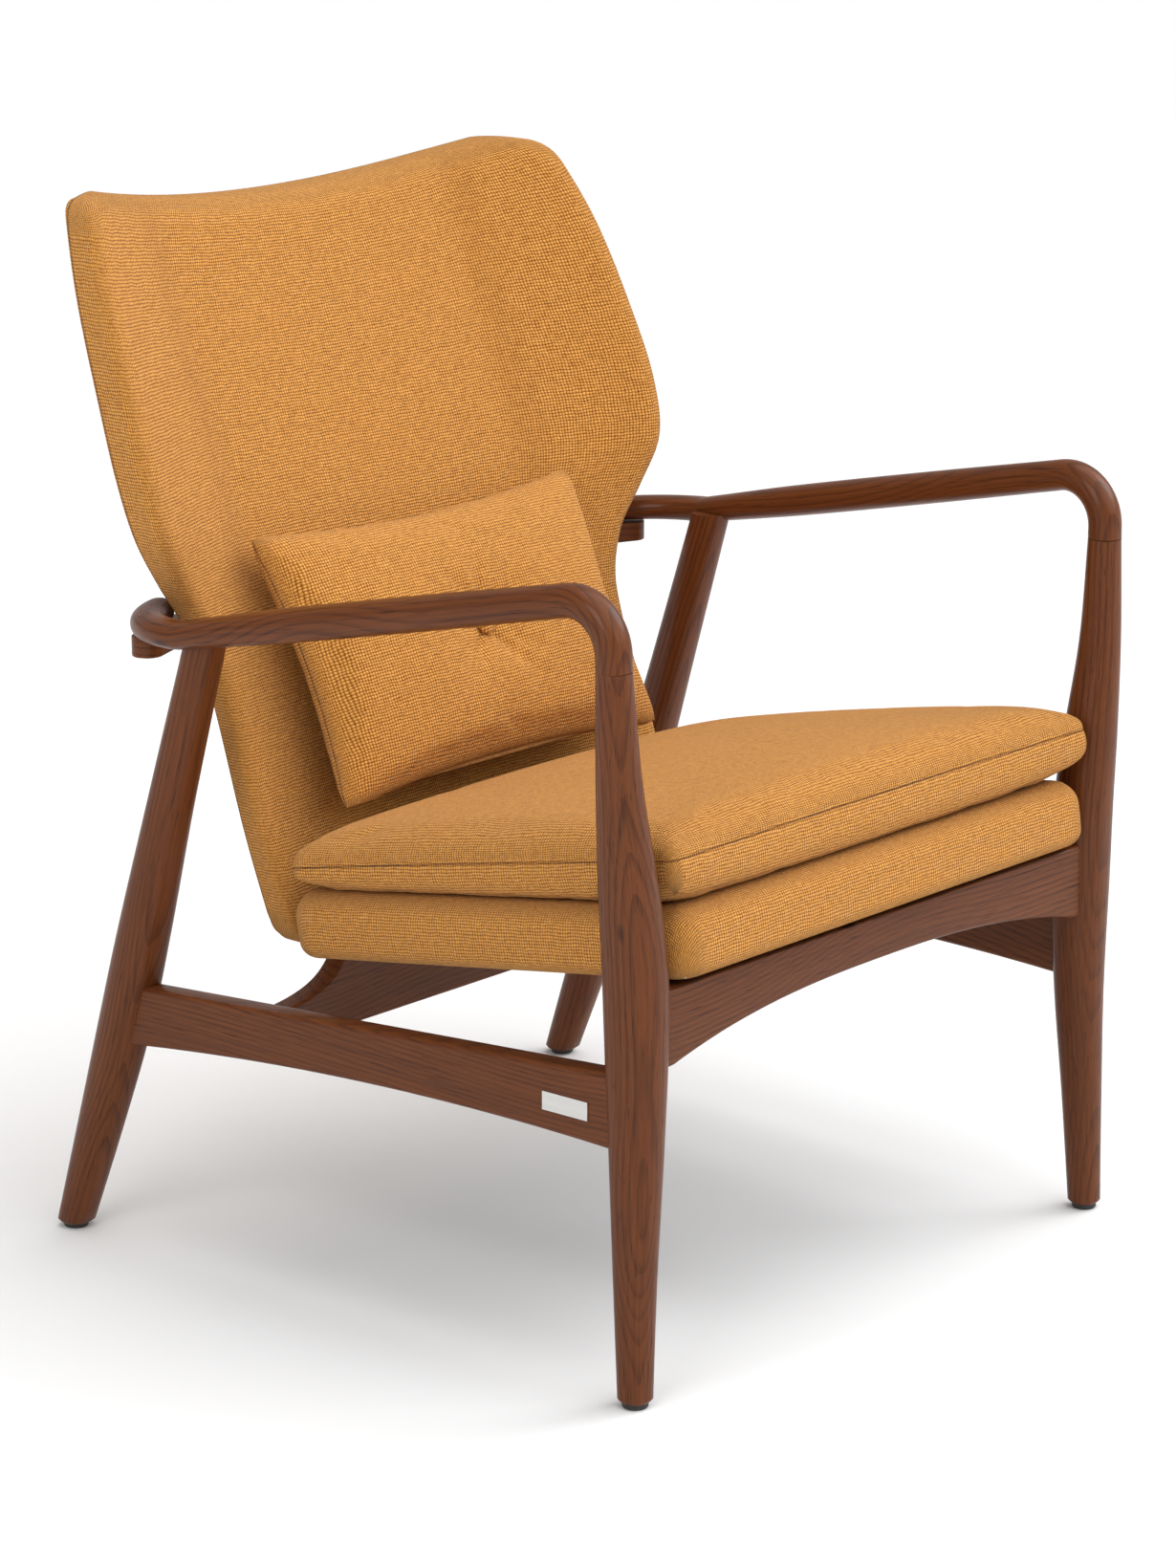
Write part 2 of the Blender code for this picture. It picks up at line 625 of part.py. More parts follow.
def build_seat_deck(front_rail, rear_rail):
    """The fixed upholstered base: a wood frame, webbing, foam, a fabric cover and a dust cover."""
    deck = new_empty("seat_deck_frame", DECK_CENTRE, (-DECK_SLOPE, 0, 0), chair_frame)
    depth = (SEAT_REAR - SEAT_FRONT) / math.cos(DECK_SLOPE)
    low = -DECK_THICK / 2
    half, half_depth = SEAT_HALF - BAR_INSET, depth / 2 - BAR_INSET
    bar_middle = low + BAR_LIFT + BAR_HEIGHT / 2
    bars = {}
    for end, sign in (("front", -1), ("rear", 1)):
        spot = (0, sign * (half_depth - BAR_WIDTH / 2), bar_middle)
        size = (2 * half, BAR_WIDTH, BAR_HEIGHT)
        bars[end] = block(f"deck_{end}_bar", size, PLYWOOD, 0.004, parent=deck, location=spot)
    inner_depth = 2 * (half_depth - BAR_WIDTH) - 2 * FIT_GAP
    for hand, sign in (("right", -1), ("left", 1)):
        spot = (sign * (half - BAR_WIDTH / 2), 0, bar_middle)
        block(f"deck_{hand}_bar", (BAR_WIDTH, inner_depth, BAR_HEIGHT), PLYWOOD, parent=deck, location=spot)
    strap_middle = bar_middle + BAR_HEIGHT / 2 + FIT_GAP + STRAP_THICK / 2
    for i in range(STRAP_COUNT):
        y = -half_depth + BAR_WIDTH + 2 * (half_depth - BAR_WIDTH) * (i + 0.5) / STRAP_COUNT
        size = (2 * half - 0.012, STRAP_WIDTH, STRAP_THICK)
        block(f"webbing_strap_{i + 1}", size, WEBBING, parent=deck, location=(0, y, strap_middle))
    foam_low = strap_middle + STRAP_THICK / 2 + FIT_GAP
    foam_high = DECK_THICK / 2 - FABRIC - FIT_GAP
    size = (2 * half, 2 * half_depth, foam_high - foam_low)
    block("deck_foam", size, FOAM, 0.008, parent=deck, location=(0, 0, (foam_low + foam_high) / 2))
    cover = block("deck_cover", (2 * SEAT_HALF, depth, DECK_THICK), FABRIC_FINISH, parent=deck)
    bevel(cover, COVER_ROUND, 2)
    size = (2 * SEAT_HALF - 2 * FABRIC, depth - 2 * FABRIC, DECK_THICK)
    room = block("deck_cover_room", size, parent=deck, location=(0, 0, -FABRIC))
    bevel(room, COVER_ROUND - FABRIC, 2)
    boolean(cover, room)
    size = (2 * (SEAT_HALF - COVER_MOUTH), depth - 2 * COVER_MOUTH, DECK_THICK)
    boolean(cover, block("deck_cover_mouth", size, parent=deck, location=(0, 0, low)))
    size = (size[0] - 0.002, size[1] - 0.002, LINING_THICK)
    lining = block("dust_cover", size, LINING, parent=deck, location=(0, 0, low + 0.0006))
    for side, hand in ((-1, "right"), (1, "left")):
        spot = Vector((side * DECK_FRONT_SCREW.x, *DECK_FRONT_SCREW.yz))
        pieces = (front_rail, bars["front"], cover, lining)
        drive_screw(f"{hand}_deck_front_screw", spot, (0, 0, 0), DECK_FRONT_LENGTH, WOOD_SCREW, pieces)
        out, level = DECK_REAR_SCREW
        spot = Vector((side * out, REAR_RAIL_DEPTH + REAR_RAIL_THICK / 2, level))
        pieces = (rear_rail, bars["rear"], cover)
        turn = (math.pi / 2, 0, 0)
        drive_screw(f"{hand}_deck_rear_screw", spot, turn, DECK_REAR_LENGTH, WOOD_SCREW, pieces)


def back_section(row, rows, inset):
    """(share, half width, level) of one row of the back, the outline drawn in by inset.

    Rows crowd together over the round top and bottom edges, and only they move with the inset,
    so that the layers of the back share the rest of their levels.
    """
    last = BACK_END_SHARES[-1]
    spread = rows - 2 * (len(BACK_END_SHARES) - 1)
    inner = [last + (1 - 2 * last) * i / spread for i in range(1, spread)]
    share = [*BACK_END_SHARES, *inner, *(1 - end for end in reversed(BACK_END_SHARES))][row]
    low, high = BACK_OUTLINE[0][0], BACK_OUTLINE[-1][0]
    level = low + (high - low) * share
    level += inset * max(1 - share / last, 0.0) - inset * max(1 - (1 - share) / last, 0.0)
    half, _ = through(BACK_OUTLINE, level)
    return share, half - inset, level


def back_front(x, level):
    """Depth of the back's front face at a place across and up it."""
    half, wing = through(BACK_OUTLINE, level)
    past = max(abs(x) - WING_START, 0.0) / (half - WING_START)
    bowed = 0.25 * x * x
    low = 0.020 * max(1 - (level - BACK_OUTLINE[0][0]) / 0.06, 0.0) * max(1 - (x / 0.24) ** 4, 0.0)
    return low + BACK_DEPTH + BACK_SLOPE * (level - BACK_LEVEL) - bowed - wing * past**1.5


def back_rear(x, level):
    """Depth of the back's rear face, which is flatter across."""
    half, wing = through(BACK_OUTLINE, level)
    past = max(abs(x) - WING_START, 0.0) / (half - WING_START)
    flatter_below = 0.72 + 0.28 * min((level - BACK_OUTLINE[0][0]) / 0.2, 1.0)
    bowed = flatter_below * x * x / (2 * CROSS_RAIL_RADIUS)
    straight = BACK_DEPTH + BACK_SLOPE * (level - BACK_LEVEL) + BACK_THICK
    return straight - bowed - 0.2 * wing * past**1.5


def back_slab(name, finish, inset, front_share, rear_share, ahead=0.0, behind=0.0, rounding=0.0):
    """A layer of the back between two shares of its depth, its front edges rounded."""
    columns, rows = 12, 13
    height = BACK_OUTLINE[-1][0] - BACK_OUTLINE[0][0] - 2 * inset
    rings = []
    for row in range(rows + 1):
        share, half, level = back_section(row, rows, inset)
        near_end = min(share, 1 - share) * height
        front_side, rear_side = [], []
        for column in range(columns + 1):
            x = half * math.sin(math.pi / 2 * (2 * column / columns - 1))
            front, rear = back_front(x, level), back_rear(x, level)
            depth = rear - front
            lift = BACK_DIP * (x / 0.26) ** 2 * share**4
            pull = 0.0
            if rounding:
                over_side = max(1 - (half - abs(x)) / rounding, 0.0)
                over_end = max(1 - near_end / rounding, 0.0)
                over = min(math.hypot(over_side, over_end), 1.0)
                pull = rounding * (1 - math.sqrt(1 - over * over))
            y_front = front + depth * front_share + ahead + pull
            y_rear = front + depth * rear_share + behind
            front_side.append(Vector((x, y_front, level + lift)))
            rear_side.append(Vector((x, y_rear, level + lift)))
        rings.append((front_side, rear_side))
    made = bmesh.new()
    grid = [
        ([made.verts.new(p) for p in front_side], [made.verts.new(p) for p in rear_side])
        for front_side, rear_side in rings
    ]
    for (front_low, rear_low), (front_high, rear_high) in zip(grid, grid[1:]):
        for i in range(columns):
            made.faces.new((front_low[i], front_low[i + 1], front_high[i + 1], front_high[i]))
            made.faces.new((rear_low[i], rear_high[i], rear_high[i + 1], rear_low[i + 1]))
        for end in (0, columns):
            made.faces.new((front_low[end], front_high[end], rear_high[end], rear_low[end]))
    for front_side, rear_side in (grid[0], grid[-1]):
        for i in range(columns):
            made.faces.new((front_side[i], front_side[i + 1], rear_side[i + 1], rear_side[i]))
    obj = place(name, mesh_from(name, made), finish)
    if finish:
        smooth(obj, 50)
    return obj


def build_back(cross_rail, rear_rail):
    """The wing back: a bent plywood shell with foam in front, a fabric cover and a rear panel."""
    inner_round = BACK_EDGE_ROUND - FABRIC
    cover = back_slab("back_cover", FABRIC_FINISH, 0.0, 0.0, 1.0, rounding=BACK_EDGE_ROUND)
    room = back_slab("back_cover_room", None, FABRIC, 0.0, 1.0, FABRIC, 0.020, inner_round)
    boolean(cover, room)
    gap = FABRIC + FIT_GAP
    ply_front = PLY_REAR + BACK_PLY
    foam = back_slab("back_foam", FOAM, gap, 0.0, 1.0, gap, -(ply_front + 0.0010), inner_round)
    shell = back_slab("back_shell", PLYWOOD, 0.008, 1.0, 1.0, -ply_front, -PLY_REAR)
    panel = back_slab("back_rear_panel", FABRIC_FINISH, 0.004, 1.0, 1.0, -(PLY_REAR - 0.0009), -0.0006)
    for side, hand in ((-1, "right"), (1, "left")):
        x = side * BACK_UPPER_OUT
        level = (CROSS_RAIL_TOP + CROSS_RAIL_BOTTOM) / 2
        rear = Vector((x, cross_rail_front(x) + CROSS_RAIL_DEPTH - 0.0015, level))
        turn, pieces = (math.pi / 2, 0, 0), (cross_rail, panel, shell)
        drive_screw(f"{hand}_back_upper_screw", rear, turn, BACK_UPPER_LENGTH, WOOD_SCREW, pieces)
        out, level = BACK_LOWER_SCREW
        front = Vector((side * out, REAR_RAIL_DEPTH - REAR_RAIL_THICK / 2, level))
        turn, pieces = (-math.pi / 2, 0, 0), (rear_rail, cover, foam, shell)
        drive_screw(f"{hand}_back_lower_screw", front, turn, BACK_LOWER_LENGTH, WOOD_SCREW, pieces)


def pillow_mesh(name, half_width, half_depth, upper, lower, pull_in, cells=8, inset=0.0):
    """A closed crowned form with pointed corners. upper and lower give its height at (u, v)."""
    made = bmesh.new()
    top, bottom = {}, {}
    for i in range(cells + 1):
        for j in range(cells + 1):
            u = math.sin(math.pi / 2 * (2 * i / cells - 1))
            v = math.sin(math.pi / 2 * (2 * j / cells - 1))
            x = u * (half_width - inset - pull_in * (1 - v * v))
            y = v * (half_depth - inset - pull_in * (1 - u * u))
            rim = i in (0, cells) or j in (0, cells)
            if rim and not inset:
                top[i, j] = bottom[i, j] = made.verts.new((x, y, 0.0))
                continue
            if rim:
                top[i, j] = made.verts.new((x, y, 0.0008))
                bottom[i, j] = made.verts.new((x, y, -0.0008))
                continue
            top[i, j] = made.verts.new((x, y, max(upper(u, v) - inset, 0.001)))
            bottom[i, j] = made.verts.new((x, y, -max(lower(u, v) - inset, 0.001)))
    for i in range(cells):
        for j in range(cells):
            corners = ((i, j), (i + 1, j), (i + 1, j + 1), (i, j + 1))
            made.faces.new([top[c] for c in corners])
            made.faces.new([bottom[c] for c in reversed(corners)])
    if inset:
        rim = [(i, 0) for i in range(cells)] + [(cells, j) for j in range(cells)]
        rim += [(i, cells) for i in range(cells, 0, -1)] + [(0, j) for j in range(cells, 0, -1)]
        for a, b in zip(rim, rim[1:] + rim[:1]):
            made.faces.new((bottom[a], bottom[b], top[b], top[a]))
    return mesh_from(name, made)


def crown(u, v, height, sharpness=3.2, fullness=0.62):
    return height * ((1 - abs(u) ** sharpness) * (1 - abs(v) ** sharpness)) ** fullness


def padded_set(name, parent, size, upper, lower, pull_in, zip_spot, zip_length):
    """A fabric cover with a zip slot in its seam, the filling inside it, and the zip."""
    cover = place(f"{name}_cover", pillow_mesh(name, *size, upper, lower, pull_in), FABRIC_FINISH, parent)
    room_mesh = pillow_mesh("room", *size, upper, lower, pull_in, inset=FABRIC * 1.6)
    room = place(f"{name}_room", room_mesh, None, parent)
    boolean(cover, room)
    slot = block(f"{name}_zip_slot", (zip_length + 0.001, *ZIP_SLOT), parent=parent, location=zip_spot)
    boolean(cover, slot)
    core_mesh = pillow_mesh("core", *size, upper, lower, pull_in, inset=FABRIC * 1.6 + 0.010)
    core = place(f"{name}_core", core_mesh, FOAM, parent)
    boolean(core, slot)
    smooth(core, 60)
    smooth(cover, 60)
    block(f"{name}_zip", (zip_length, *ZIP_TEETH), DARK_PLASTIC, 0.0006, parent=parent, location=zip_spot)


def build_seat_cushion():
    """The loose seat cushion, crowned on top and flat where it rests on the deck."""
    middle = (SEAT_FRONT + SEAT_REAR) / 2
    rise = math.tan(SEAT_SLOPE)
    centre = Vector((0, middle, CUSHION_SEAM + rise * (SEAT_REAR - middle)))
    parent = new_empty("seat_cushion_frame", centre, (-SEAT_SLOPE, 0, 0), chair_frame)
    half_depth = (SEAT_REAR - SEAT_FRONT) / 2 / math.cos(SEAT_SLOPE)

    def upper(u, v):
        return crown(u, v, CUSHION_CROWN)

    def lower(u, v):
        depth = CUSHION_DEPTH_FRONT + (CUSHION_DEPTH_REAR - CUSHION_DEPTH_FRONT) * (v + 1) / 2
        return crown(u, v, depth, 8.0, 0.4)

    pull_in = 0.005
    spot = (0, half_depth - pull_in - 0.0045, 0)
    padded_set("seat_cushion", parent, (CUSHION_HALF, half_depth), upper, lower, pull_in, spot, 0.36)


def build_lumbar_pillow():
    """The loose lumbar pillow with one covered button in its middle, front and rear."""
    turn = (math.pi / 2 - PILLOW_LEAN, 0, 0)
    parent = new_empty("lumbar_pillow_frame", PILLOW_CENTRE, turn, chair_frame)

    def side(u, v):
        dimple = 0.009 * math.exp(-((u / 0.2) ** 2 + (v / 0.3) ** 2))
        return crown(u, v, PILLOW_HALF_THICK, 2.4, 0.75) - dimple

    size = (PILLOW_HALF_WIDTH, PILLOW_HALF_HEIGHT)
    pull_in = 0.010
    spot = (0, -(PILLOW_HALF_HEIGHT - pull_in - 0.0045), 0)
    padded_set("lumbar_pillow", parent, size, side, side, pull_in, spot, 0.28)
    surface = side(0, 0) + 0.0022
    rim = BUTTON_RADIUS - 0.0012
    profile = ((0.0, 0.0045), (0.006, 0.0042), (rim, 0.0026), (BUTTON_RADIUS, 0.0009), (rim, 0.0), (0.0, 0.0))
    for face, height, flip in (("front", surface, 0.0), ("rear", -surface, math.pi)):
        where = {"parent": parent, "location": (0, 0, height), "rotation": (flip, 0, 0)}
        turned(f"pillow_{face}_button", profile, FABRIC_FINISH, 14, **where)


clear_scene()
chair = new_collection("wooden_armchair")
cutters = new_collection("cutters")
chair_frame = new_empty("chair_frame", (0, DEPTH_SHIFT, 0), (0, 0, 0))
legs = build_legs()
armrests = build_armrests()
build_dowels(legs, armrests)
side_boards = build_stretchers(legs)
front_board = build_front_rail(legs)
rear_board = build_rear_rail(side_boards)
bowed_rail = build_cross_rail(armrests)
build_glides()
build_label_plate()
build_seat_deck(front_board, rear_board)
build_back(bowed_rail, rear_board)
build_seat_cushion()
build_lumbar_pillow()
bpy.context.view_layer.update()
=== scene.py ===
"""A low wooden lounge armchair with ochre upholstery. Metres, +Z up, the chair faces -Y.

The wood members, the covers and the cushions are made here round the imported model; the pieces
inside them stay as packed and get their own finishes."""

import itertools
import json
import math

import bpy
import numpy as np
from mathutils import Matrix, Vector


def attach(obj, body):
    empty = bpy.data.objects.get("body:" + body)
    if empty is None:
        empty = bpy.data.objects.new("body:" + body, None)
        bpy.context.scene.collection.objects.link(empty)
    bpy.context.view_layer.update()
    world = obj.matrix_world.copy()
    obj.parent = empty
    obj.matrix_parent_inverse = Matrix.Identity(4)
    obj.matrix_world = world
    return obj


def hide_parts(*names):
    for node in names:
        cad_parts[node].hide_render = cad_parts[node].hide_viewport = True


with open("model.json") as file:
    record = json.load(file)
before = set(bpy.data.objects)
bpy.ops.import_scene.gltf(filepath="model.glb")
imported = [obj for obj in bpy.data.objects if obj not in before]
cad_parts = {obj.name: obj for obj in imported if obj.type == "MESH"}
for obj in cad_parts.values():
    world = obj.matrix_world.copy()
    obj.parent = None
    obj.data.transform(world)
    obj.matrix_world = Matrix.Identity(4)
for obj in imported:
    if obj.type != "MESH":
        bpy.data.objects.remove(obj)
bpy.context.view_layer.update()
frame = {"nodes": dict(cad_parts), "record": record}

# ---------------------------------------------------------------------------------------------
# The viewer stands to the front and the sitter's right of the chair and looks slightly down.
# A long lens keeps the near and the far leg close to the same size.
VIEW_TURN = math.radians(-48.5101)
VIEW_RISE = math.radians(15.2329)
VIEW_PLACE = (-2.84834, -2.54662, 1.41722)
VIEW_LENS, VIEW_FILM, VIEW_FARTHEST = 107.95, 36.0, 200.0

backward = Vector(
    (
        math.sin(VIEW_TURN) * math.cos(VIEW_RISE),
        -math.cos(VIEW_TURN) * math.cos(VIEW_RISE),
        math.sin(VIEW_RISE),
    )
)
viewer = bpy.data.objects.new("viewer", bpy.data.cameras.new("viewer"))
bpy.context.scene.collection.objects.link(viewer)
viewer.data.lens = VIEW_LENS
viewer.data.sensor_width = VIEW_FILM
viewer.data.clip_end = VIEW_FARTHEST
viewer.location = VIEW_PLACE
viewer.rotation_euler = backward.to_track_quat("Z", "Y").to_euler()
bpy.context.scene.camera = viewer

# ---------------------------------------------------------------------------------------------
# The studio: a white floor that runs out of sight, an even white room that is brighter low down,
# one wide soft light from above and in front, and two softboxes that put long highlights on the
# armrests.
FLOOR_SIZE, FLOOR_WHITE, FLOOR_DULL, FLOOR_GLOSS = 90.0, (0.80, 0.80, 0.80, 1.0), 0.9, 0.1
ROOM_LIGHT, HORIZON_LIGHT, HORIZON_TOP = 0.44, 1.0, 0.16
TOP_LIGHT, TOP_SPREAD = 3.05, math.radians(95)
LEFT_LIGHT, LEFT_SIZE = 30.0, 1.6
FRONT_LIGHT, FRONT_SIZE = 26.0, 1.4

bpy.context.scene.view_settings.view_transform = "Standard"
room = bpy.data.worlds.new("white_room")
room.use_nodes = True
room.node_tree.nodes["Background"].inputs["Color"].default_value = (1.0, 1.0, 1.0, 1.0)
sky = room.node_tree.nodes.new("ShaderNodeTexCoord")
height = room.node_tree.nodes.new("ShaderNodeSeparateXYZ")
fade = room.node_tree.nodes.new("ShaderNodeMapRange")
fade.inputs["From Max"].default_value = HORIZON_TOP
fade.inputs["To Min"].default_value = HORIZON_LIGHT
fade.inputs["To Max"].default_value = ROOM_LIGHT
room.node_tree.links.new(sky.outputs["Generated"], height.inputs[0])
room.node_tree.links.new(height.outputs["Z"], fade.inputs["Value"])
room.node_tree.links.new(fade.outputs[0], room.node_tree.nodes["Background"].inputs["Strength"])
bpy.context.scene.world = room

bpy.ops.object.select_all(action="DESELECT")
bpy.ops.mesh.primitive_plane_add(size=FLOOR_SIZE, location=(0.0, 0.0, 0.0))
floor = bpy.context.object
floor.name = "studio_floor"
floor_paint = bpy.data.materials.new("floor_paint")
floor_paint.use_nodes = True
floor_shader = floor_paint.node_tree.nodes["Principled BSDF"]
floor_shader.inputs["Base Color"].default_value = FLOOR_WHITE
floor_shader.inputs["Roughness"].default_value = FLOOR_DULL
floor_shader.inputs["Specular IOR Level"].default_value = FLOOR_GLOSS
floor.data.materials.append(floor_paint)


def hang_light(name, kind, strength, place, target, **settings):
    """A light hung at a place and turned to a target."""
    lamp = bpy.data.objects.new(name, bpy.data.lights.new(name, kind))
    bpy.context.scene.collection.objects.link(lamp)
    lamp.data.energy = strength
    for key, value in settings.items():
        setattr(lamp.data, key, value)
    lamp.location = place
    lamp.rotation_euler = (Vector(place) - Vector(target)).to_track_quat("Z", "Y").to_euler()
    return lamp


hang_light("top_light", "SUN", TOP_LIGHT, (1.3, -1.9, 4.0), (0.0, 0.0, 0.4), angle=TOP_SPREAD)
hang_light("left_softbox", "AREA", LEFT_LIGHT, (-2.6, -0.6, 1.9), (0.0, 0.0, 0.5), size=LEFT_SIZE)
hang_light("front_softbox", "AREA", FRONT_LIGHT, (2.2, -1.2, 2.2), (0.0, 0.0, 0.5), size=FRONT_SIZE)

# ---------------------------------------------------------------------------------------------
# Legs: four square-shouldered turned legs of stained hardwood, thickest where a stretcher or a
# rail meets them and tapering to the foot and to the armrest. The rear legs rake backward and
# their tops are scribed to the underside of the armrest.
CHAIR_BACK = -0.0165
LEG_SIDES, LEG_SQUARENESS, LEG_RINGS = 40, 2.35, 46
LEG_FOOT, LEG_CHAMFER, LEG_CHAMFER_SLOPE, LEG_SOLE = 0.0048, 0.0025, 0.9, 0.0008
REAR_LEG_TOP = 0.5465
RING_PITCH, RING_ACROSS, RING_INWARD = 0.0050, 0.016, 0.052
PLANK_SHIFT = (0.011, 0.009, 0.73)
# Each station up a leg: its height, how far out and how far back its middle is, its width.
FRONT_LEG = (
    (0.0, 0.2955, -0.3210, 0.0262),
    (0.1, 0.2920, -0.3175, 0.0325),
    (0.2, 0.2875, -0.3145, 0.0405),
    (0.3, 0.2865, -0.3135, 0.0475),
    (0.36, 0.2885, -0.3130, 0.0480),
    (0.42, 0.2960, -0.3128, 0.0435),
    (0.5, 0.3063, -0.3128, 0.0335),
    (0.585, 0.3105, -0.3115, 0.0268),
)
REAR_LEG = (
    (0.0, 0.3110, 0.2985, 0.0300),
    (0.1, 0.3115, 0.2615, 0.0380),
    (0.19, 0.3115, 0.2300, 0.0435),
    (0.28, 0.3120, 0.2020, 0.0430),
    (0.4, 0.3130, 0.1645, 0.0375),
    (0.56, 0.3125, 0.1140, 0.0325),
)


class Feed:
    """A value that a material's nodes give. Sums and products of feeds add their Math nodes."""

    def __init__(self, finish, socket):
        self.finish, self.socket = finish, socket

    def work(self, operation, *others):
        sockets = dict(enumerate((self, *others)))
        return self.finish.node("Math", {"operation": operation}, sockets)

    def __add__(self, other):
        return self.work("ADD", other)

    def __sub__(self, other):
        return self.work("SUBTRACT", other)

    def __rsub__(self, other):
        return self.finish.node("Math", {"operation": "SUBTRACT"}, {0: other, 1: self})

    def __mul__(self, other):
        return self.work("MULTIPLY", other)

    def __truediv__(self, other):
        return self.work("DIVIDE", other)

    def __pow__(self, other):
        return self.work("POWER", other)

    __radd__, __rmul__ = __add__, __mul__


class Finish:
    """A material under construction: its Principled shader, and one method for every other node."""

    def __init__(self, name, **fixed):
        self.material = bpy.data.materials.new(name)
        self.material.use_nodes = True
        self.tree = self.material.node_tree
        self.shader = self.tree.nodes["Principled BSDF"]
        for key, value in fixed.items():
            self.shader.inputs[key.replace("_", " ")].default_value = value

    def node(self, kind, settings=None, sockets=None, out=0):
        made = self.tree.nodes.new("ShaderNode" + kind)
        for key, value in (settings or {}).items():
            if key != "stops":
                setattr(made, key, value)
                continue
            stops = made.color_ramp.elements
            while len(stops) < len(value):
                stops.new(1.0)
            for stop, (place, colour) in zip(stops, value):
                stop.position, stop.color = place, colour
        for key, value in (sockets or {}).items():
            self.join(made.inputs[key], value)
        return Feed(self, made.outputs[out])

    def join(self, socket, value):
        if isinstance(value, Feed):
            self.tree.links.new(value.socket, socket)
        else:
            socket.default_value = value

    def feed(self, name, value):
        self.join(self.shader.inputs[name], value)

    def split(self, vector):
        """The three parts of a vector."""
        parts = self.node("SeparateXYZ", {}, {0: vector}).socket.node
        return [Feed(self, part) for part in parts.outputs]

    def colours(self, share, first, second):
        """One colour turning into another as share goes from 0 to 1."""
        return self.node("Mix", {"data_type": "RGBA"}, {0: share, 6: first, 7: second}, 2)

    def grains(self, place, scale, detail=2.0, stretch=(1.0, 1.0, 1.0), roughness=0.5):
        """Noise round 0.5, finer with scale and drawn out where stretch is small."""
        turned = self.node("Mapping", {}, {"Vector": place, "Scale": stretch})
        sockets = {"Vector": turned, "Scale": scale, "Detail": detail, "Roughness": roughness}
        return self.node("TexNoise", {}, sockets)

    def step(self, value, low, high):
        """0 below low, 1 above high."""
        sockets = {"Value": value, "From Min": low, "From Max": high}
        return self.node("MapRange", {"interpolation_type": "SMOOTHSTEP"}, sockets)

    def relief(self, height, strength, distance):
        sockets = {"Height": height, "Strength": strength, "Distance": distance}
        self.feed("Normal", self.node("Bump", {}, sockets))


def through(stations, at):
    """Values read at one place from a smooth curve through stations (place, value, value ...)."""
    places = [station[0] for station in stations]
    last = len(stations) - 1
    step = max(i for i in range(last) if places[i] <= at or i == 0)
    span = places[step + 1] - places[step]
    share = min(max((at - places[step]) / span, 0.0), 1.0)

    def slope(index):
        low, high = max(index - 1, 0), min(index + 1, last)
        run = places[high] - places[low]
        return [(b - a) / run for a, b in zip(stations[low][1:], stations[high][1:])]

    found = []
    ends = zip(stations[step][1:], stations[step + 1][1:], slope(step), slope(step + 1))
    for a, b, slope_a, slope_b in ends:
        rise = (2 * share**3 - 3 * share**2 + 1) * a + (3 * share**2 - 2 * share**3) * b
        turn = (share**3 - 2 * share**2 + share) * slope_a + (share**3 - share**2) * slope_b
        found.append(rise + turn * span)
    return found


def draw_out(name, sides, squareness, stations):
    """A filled ring drawn up its own Z through stations (x, y, z, half width, half depth)."""
    bpy.ops.object.select_all(action="DESELECT")
    bpy.ops.mesh.primitive_circle_add(vertices=sides, radius=1.0, fill_type="NGON")
    piece = bpy.context.object
    piece.name = piece.data.name = name
    for i, vertex in enumerate(piece.data.vertices):
        angle = 2 * math.pi * (i + 0.5) / sides
        cosine, sine = math.cos(angle), math.sin(angle)
        reach = 1 / max(abs(cosine), abs(sine))
        if squareness:
            reach = (abs(cosine) ** squareness + abs(sine) ** squareness) ** (-1 / squareness)
        vertex.co = (reach * cosine, reach * sine, 0.0)
    bpy.ops.object.mode_set(mode="EDIT")
    bpy.ops.mesh.select_all(action="SELECT")
    x, y, z, wide, deep = stations[0]
    bpy.ops.transform.resize(value=(wide, deep, 1.0), center_override=(0.0, 0.0, 0.0))
    bpy.ops.transform.translate(value=(x, y, z))
    for before, after in zip(stations, stations[1:]):
        move = [b - a for a, b in zip(before[:3], after[:3])]
        bpy.ops.mesh.extrude_region_move(TRANSFORM_OT_translate={"value": move})
        grow = (after[3] / before[3], after[4] / before[4], 1.0)
        bpy.ops.transform.resize(value=grow, center_override=after[:3])
    bpy.ops.mesh.select_all(action="SELECT")
    bpy.ops.mesh.normals_make_consistent(inside=False)
    bpy.ops.object.mode_set(mode="OBJECT")
    return piece


def only(piece):
    bpy.ops.object.select_all(action="DESELECT")
    piece.select_set(True)
    bpy.context.view_layer.objects.active = piece


def settle(piece, modifier):
    only(piece)
    bpy.ops.object.modifier_apply(modifier=modifier.name)


def scribe(piece, other):
    """Cuts a piece to fit round another one."""
    cut = piece.modifiers.new("scribe", "BOOLEAN")
    cut.operation, cut.solver, cut.object = "DIFFERENCE", "EXACT", other
    settle(piece, cut)


def note(piece, name, spots):
    """Keeps a place in the cloth or the board for every point of a piece."""
    carried = piece.data.attributes.get(name)
    if carried is not None:
        piece.data.attributes.remove(carried)
    kept = piece.data.attributes.new(name, "FLOAT_VECTOR", "POINT")
    kept.data.foreach_set("vector", np.asarray(spots, np.float32).ravel())


def points_of(piece):
    found = np.empty(len(piece.data.vertices) * 3, np.float32)
    piece.data.vertices.foreach_get("co", found)
    return found.reshape(-1, 3).astype(float)


def normals_of(piece):
    found = np.empty(len(piece.data.vertices) * 3, np.float32)
    piece.data.vertex_normals.foreach_get("vector", found)
    return found.reshape(-1, 3).astype(float)


def put_points(piece, points):
    piece.data.vertices.foreach_set("co", np.asarray(points, np.float32).ravel())
    piece.data.update()


def soften(piece, degrees=40):
    only(piece)
    bpy.ops.object.shade_smooth_by_angle(angle=math.radians(degrees))


